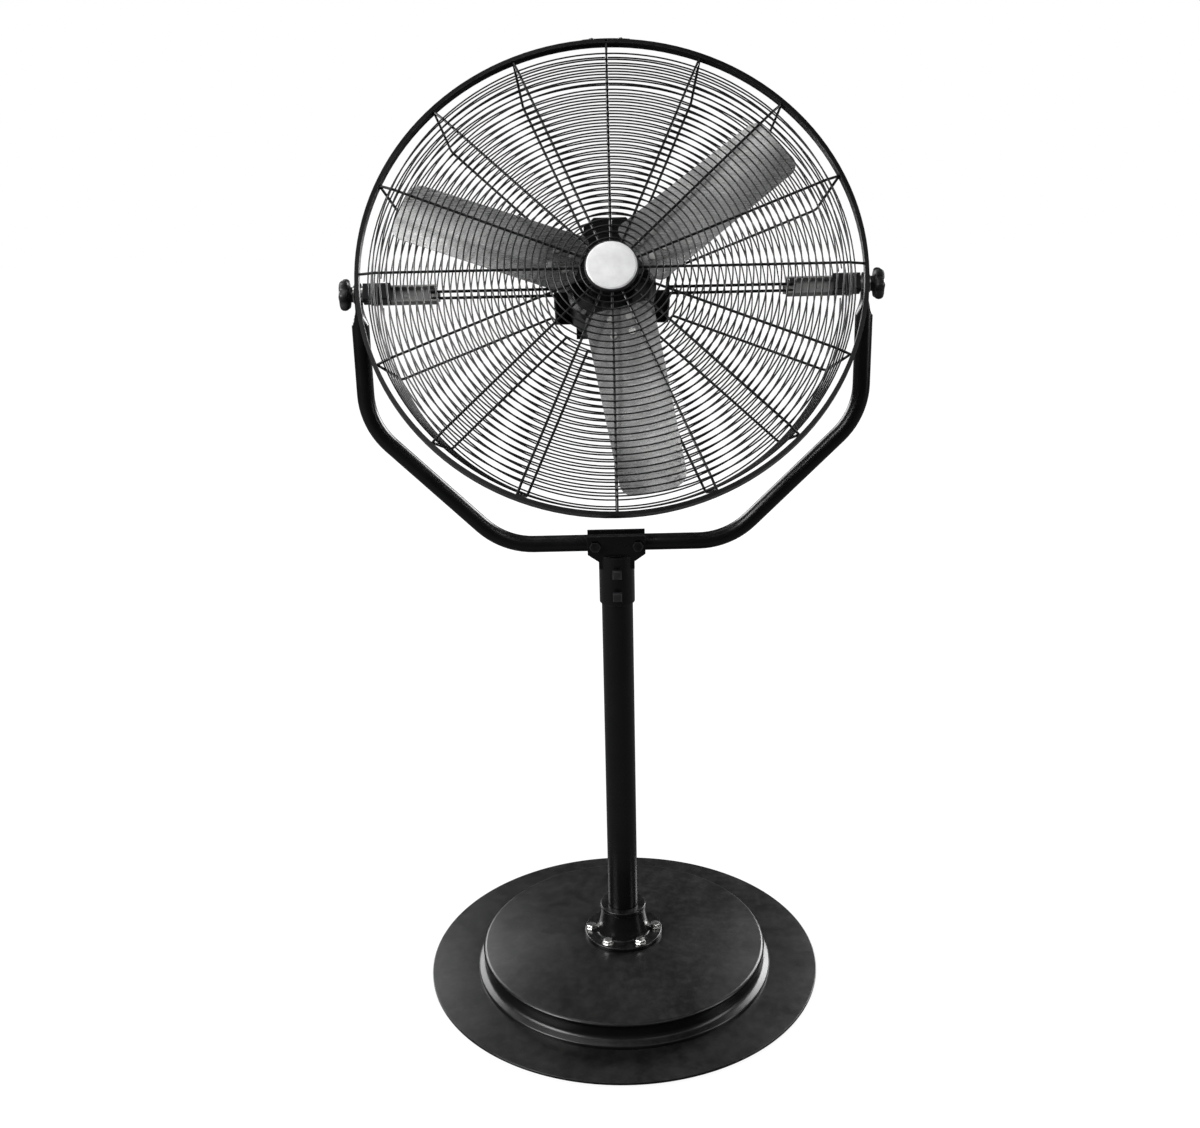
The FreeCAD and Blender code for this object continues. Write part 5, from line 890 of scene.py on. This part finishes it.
face_spokes = FACE_DEPTH + WIRE + SPOKE + WELD_GAP
one_guard("front_wires", [
    rings_of("face_rings", FACE_FIRST, FACE_DEPTH, WIRE,
             {"Ring Pitch": FACE_PITCH, "Ring Count": FACE_RINGS}),
    rings_of("face_hoop", HOOP_CIRCLE, FRONT_HOOP, HOOP),
    spokes_of("face_spokes", (face_spokes, SPOKE_START), (face_spokes, FACE_CORNER),
              (FRONT_HOOP, FACE_END), FACE_BEND),
], ["front_guard", "front_inner_rings"])

back_spokes = BACK_DEPTH + WIRE + SPOKE + WELD_GAP
wall_slope = (BACK_END - BACK_CORNER) / (back_spokes - REAR_HOOP)
wall_circles = {}
for depth in WALL_LEVELS + BROKEN_LEVELS:
    wall_circles[depth] = BACK_CORNER + wall_slope * (back_spokes - depth) - WIRE - SPOKE - WELD_GAP
back_parts = [
    rings_of("back_rings", BACK_FIRST, BACK_DEPTH, WIRE,
             {"Ring Pitch": BACK_PITCH, "Ring Count": BACK_RINGS}),
    rings_of("rear_hoop", HOOP_CIRCLE, REAR_HOOP, HOOP),
    spokes_of("back_spokes", (back_spokes, BACK_FIRST), (back_spokes, BACK_CORNER),
              (REAR_HOOP, BACK_END), BACK_BEND, SPOKE_LEFT_OUT),
]
for depth in WALL_LEVELS:
    back_parts.append(rings_of("wall_ring", wall_circles[depth], depth, WIRE))
for depth in BROKEN_LEVELS:
    for start in (0.0, math.pi):
        back_parts.append(rings_of("broken_ring", wall_circles[depth], depth, WIRE,
                                   {"Start": start + BREAK_ANGLE, "Sweep": math.pi - 2 * BREAK_ANGLE}))
one_guard("rear_wires", back_parts, ["rear_guard", "rear_inner_rings"])
dress(frame_coat, "guard_ring", "ring_strap")
dress(bright_zinc, "guard_clips", "guard_screws")


# Centre badge
# A plain white moulded disc, slightly domed and glossy, in a thin black cup that is
# screwed through the ends of the front spokes to a plate behind them.
BADGE_STEPS = 96
BADGE_PLACE = HEAD @ Matrix.Rotation(math.radians(90), 4, "X")
DISC_RADIUS = 0.0422
DISC_BACK = 0.0927
DISC_FRONT = 0.1007
CUP_RADIUS = 0.045
CUP_INSIDE = 0.0426
CUP_BACK = 0.0887
CUP_FLOOR = 0.0926

badge_gloss = moulded("badge_gloss", (0.94, 0.94, 0.935), sheen=0.18, grain=0.00003, dust=0.0)
disc_corners = [
    # distance from the axis, distance in front of the pivots, rounding
    (0.0, DISC_BACK, 0), (DISC_RADIUS, DISC_BACK, 0), (DISC_RADIUS, 0.0968, 0.0012),
    (0.04, 0.0983, 0.003), (0.032, 0.0996, 0.008), (0.017, 0.1005, 0.008), (0.0, DISC_FRONT, 0),
]
finished("white_disc", turned("white_disc", rounded(disc_corners), BADGE_STEPS, BADGE_PLACE), "head",
         ["centre_badge"], badge_gloss, sharp=60.0)
cup_corners = [
    (0.0, CUP_BACK, 0), (CUP_RADIUS, CUP_BACK, 0), (CUP_RADIUS, 0.0962, 0.0012),
    (CUP_INSIDE, 0.0965, 0.0008), (CUP_INSIDE, CUP_FLOOR, 0), (0.0, CUP_FLOOR, 0),
]
finished("badge_cup", turned("badge_cup", rounded(cup_corners), BADGE_STEPS, BADGE_PLACE), "head",
         ["badge_plate"], black_plastic)
dress(bright_zinc, "badge_clamp", "badge_screw")


# Blades and hub
# Three blades of rolled aluminium sheet, flat at the root and twisted towards the tip,
# riveted to the arms of a black plate that is fixed to a turned hub on the shaft. Their
# metal is darkened near the hub with painted shade.
BLADE_ANGLES = (39.5, 159.5, 279.5)
# where the painted shade on the blades starts and ends, how dark it is, and how ragged its edge is
SHADE_NEAR = 0.14
SHADE_FAR = 0.35
SHADE_DEPTH = 0.75
SHADE_RAGGED = 0.1


def build_grime_group():
    """A mask of painted shade, darkest near the hub and gone towards the blades' tips, with a ragged end."""
    group, given, target = shader_group("painted_hub_shade", {"Vector": (0.0, 0.0, 0.0)}, ("Hub Shade",))
    arm = put(group, "ShaderNodeVectorMath", {0: given["Vector"], 1: HEAD.translation},
              operation="SUBTRACT")
    axis = HEAD.to_3x3() @ Vector((0.0, 1.0, 0.0))
    across = put(group, "ShaderNodeVectorMath", {0: arm.outputs[0], 1: axis},
                 operation="CROSS_PRODUCT")
    reach = put(group, "ShaderNodeVectorMath", {0: across.outputs[0]}, operation="LENGTH")
    patches = noise(group, given["Vector"], 18.0, 5.0)
    uneven = worked(group, "MULTIPLY_ADD", patches, SHADE_RAGGED, reach.outputs["Value"])
    mask = spread(group, uneven, SHADE_NEAR, SHADE_FAR, SHADE_DEPTH, 0.0)
    group.links.new(mask, target.inputs["Hub Shade"])
    return group


# the mask of painted shade on the blades near the hub
hub_shade_group = build_grime_group()
machined = plated_metal("machined_steel", (0.45, 0.45, 0.46), sheen=0.3, stretch=(1.0, 1.0, 6.0))
for index, angle in enumerate(BLADE_ANGLES):
    number = str(index + 1)
    # each blade's metal is darkened near the hub with painted shade
    metal = plated_metal("blade_metal_" + number, (0.78, 0.78, 0.77), sheen=0.26,
                         stretch=(1.0, 7.0, 7.0), turn=math.radians(angle), painted_shade=hub_shade_group)
    dress(metal, "blade_" + number)
dress(bright_zinc, "blade_rivets")
dress(frame_coat, "blade_spider")
dress(machined, "blade_hub")
dress(dark_steel, "hub_screw")


# Motor
# A closed motor in a black enamelled shell between two dished bells, long bolts through
# both, in a bent steel bracket behind it. The shaft runs in two ball bearings.
motor_coat = powder_coat("motor_coat", (0.006, 0.006, 0.0065), sheen=0.28, grain=0.0001,
                         dust=0.08, wear=0.35)
copper = plated_metal("copper_winding", (0.5, 0.22, 0.09), sheen=0.4, stretch=(8.0, 1.0, 8.0))
dress(motor_coat, "motor_shell", "motor_front_bell", "motor_rear_bell")
dress(frame_coat, "motor_cradle")
dress(bright_zinc, "motor_bolts", "block_bolts")
dress(machined, "motor_shaft", "rotor_core", "stator_core", "motor_bearings")
dress(copper, "stator_windings")


# Switch box
# A folded steel box with cut corners on top of the motor. Its lid at the back carries the
# speed knob, and a black gland stands in its left side.
dress(motor_coat, "switch_box", "box_lid")
dress(bright_zinc, "lid_screws", "run_capacitor")
dress(black_plastic, "speed_knob", "speed_switch", "cord_gland")
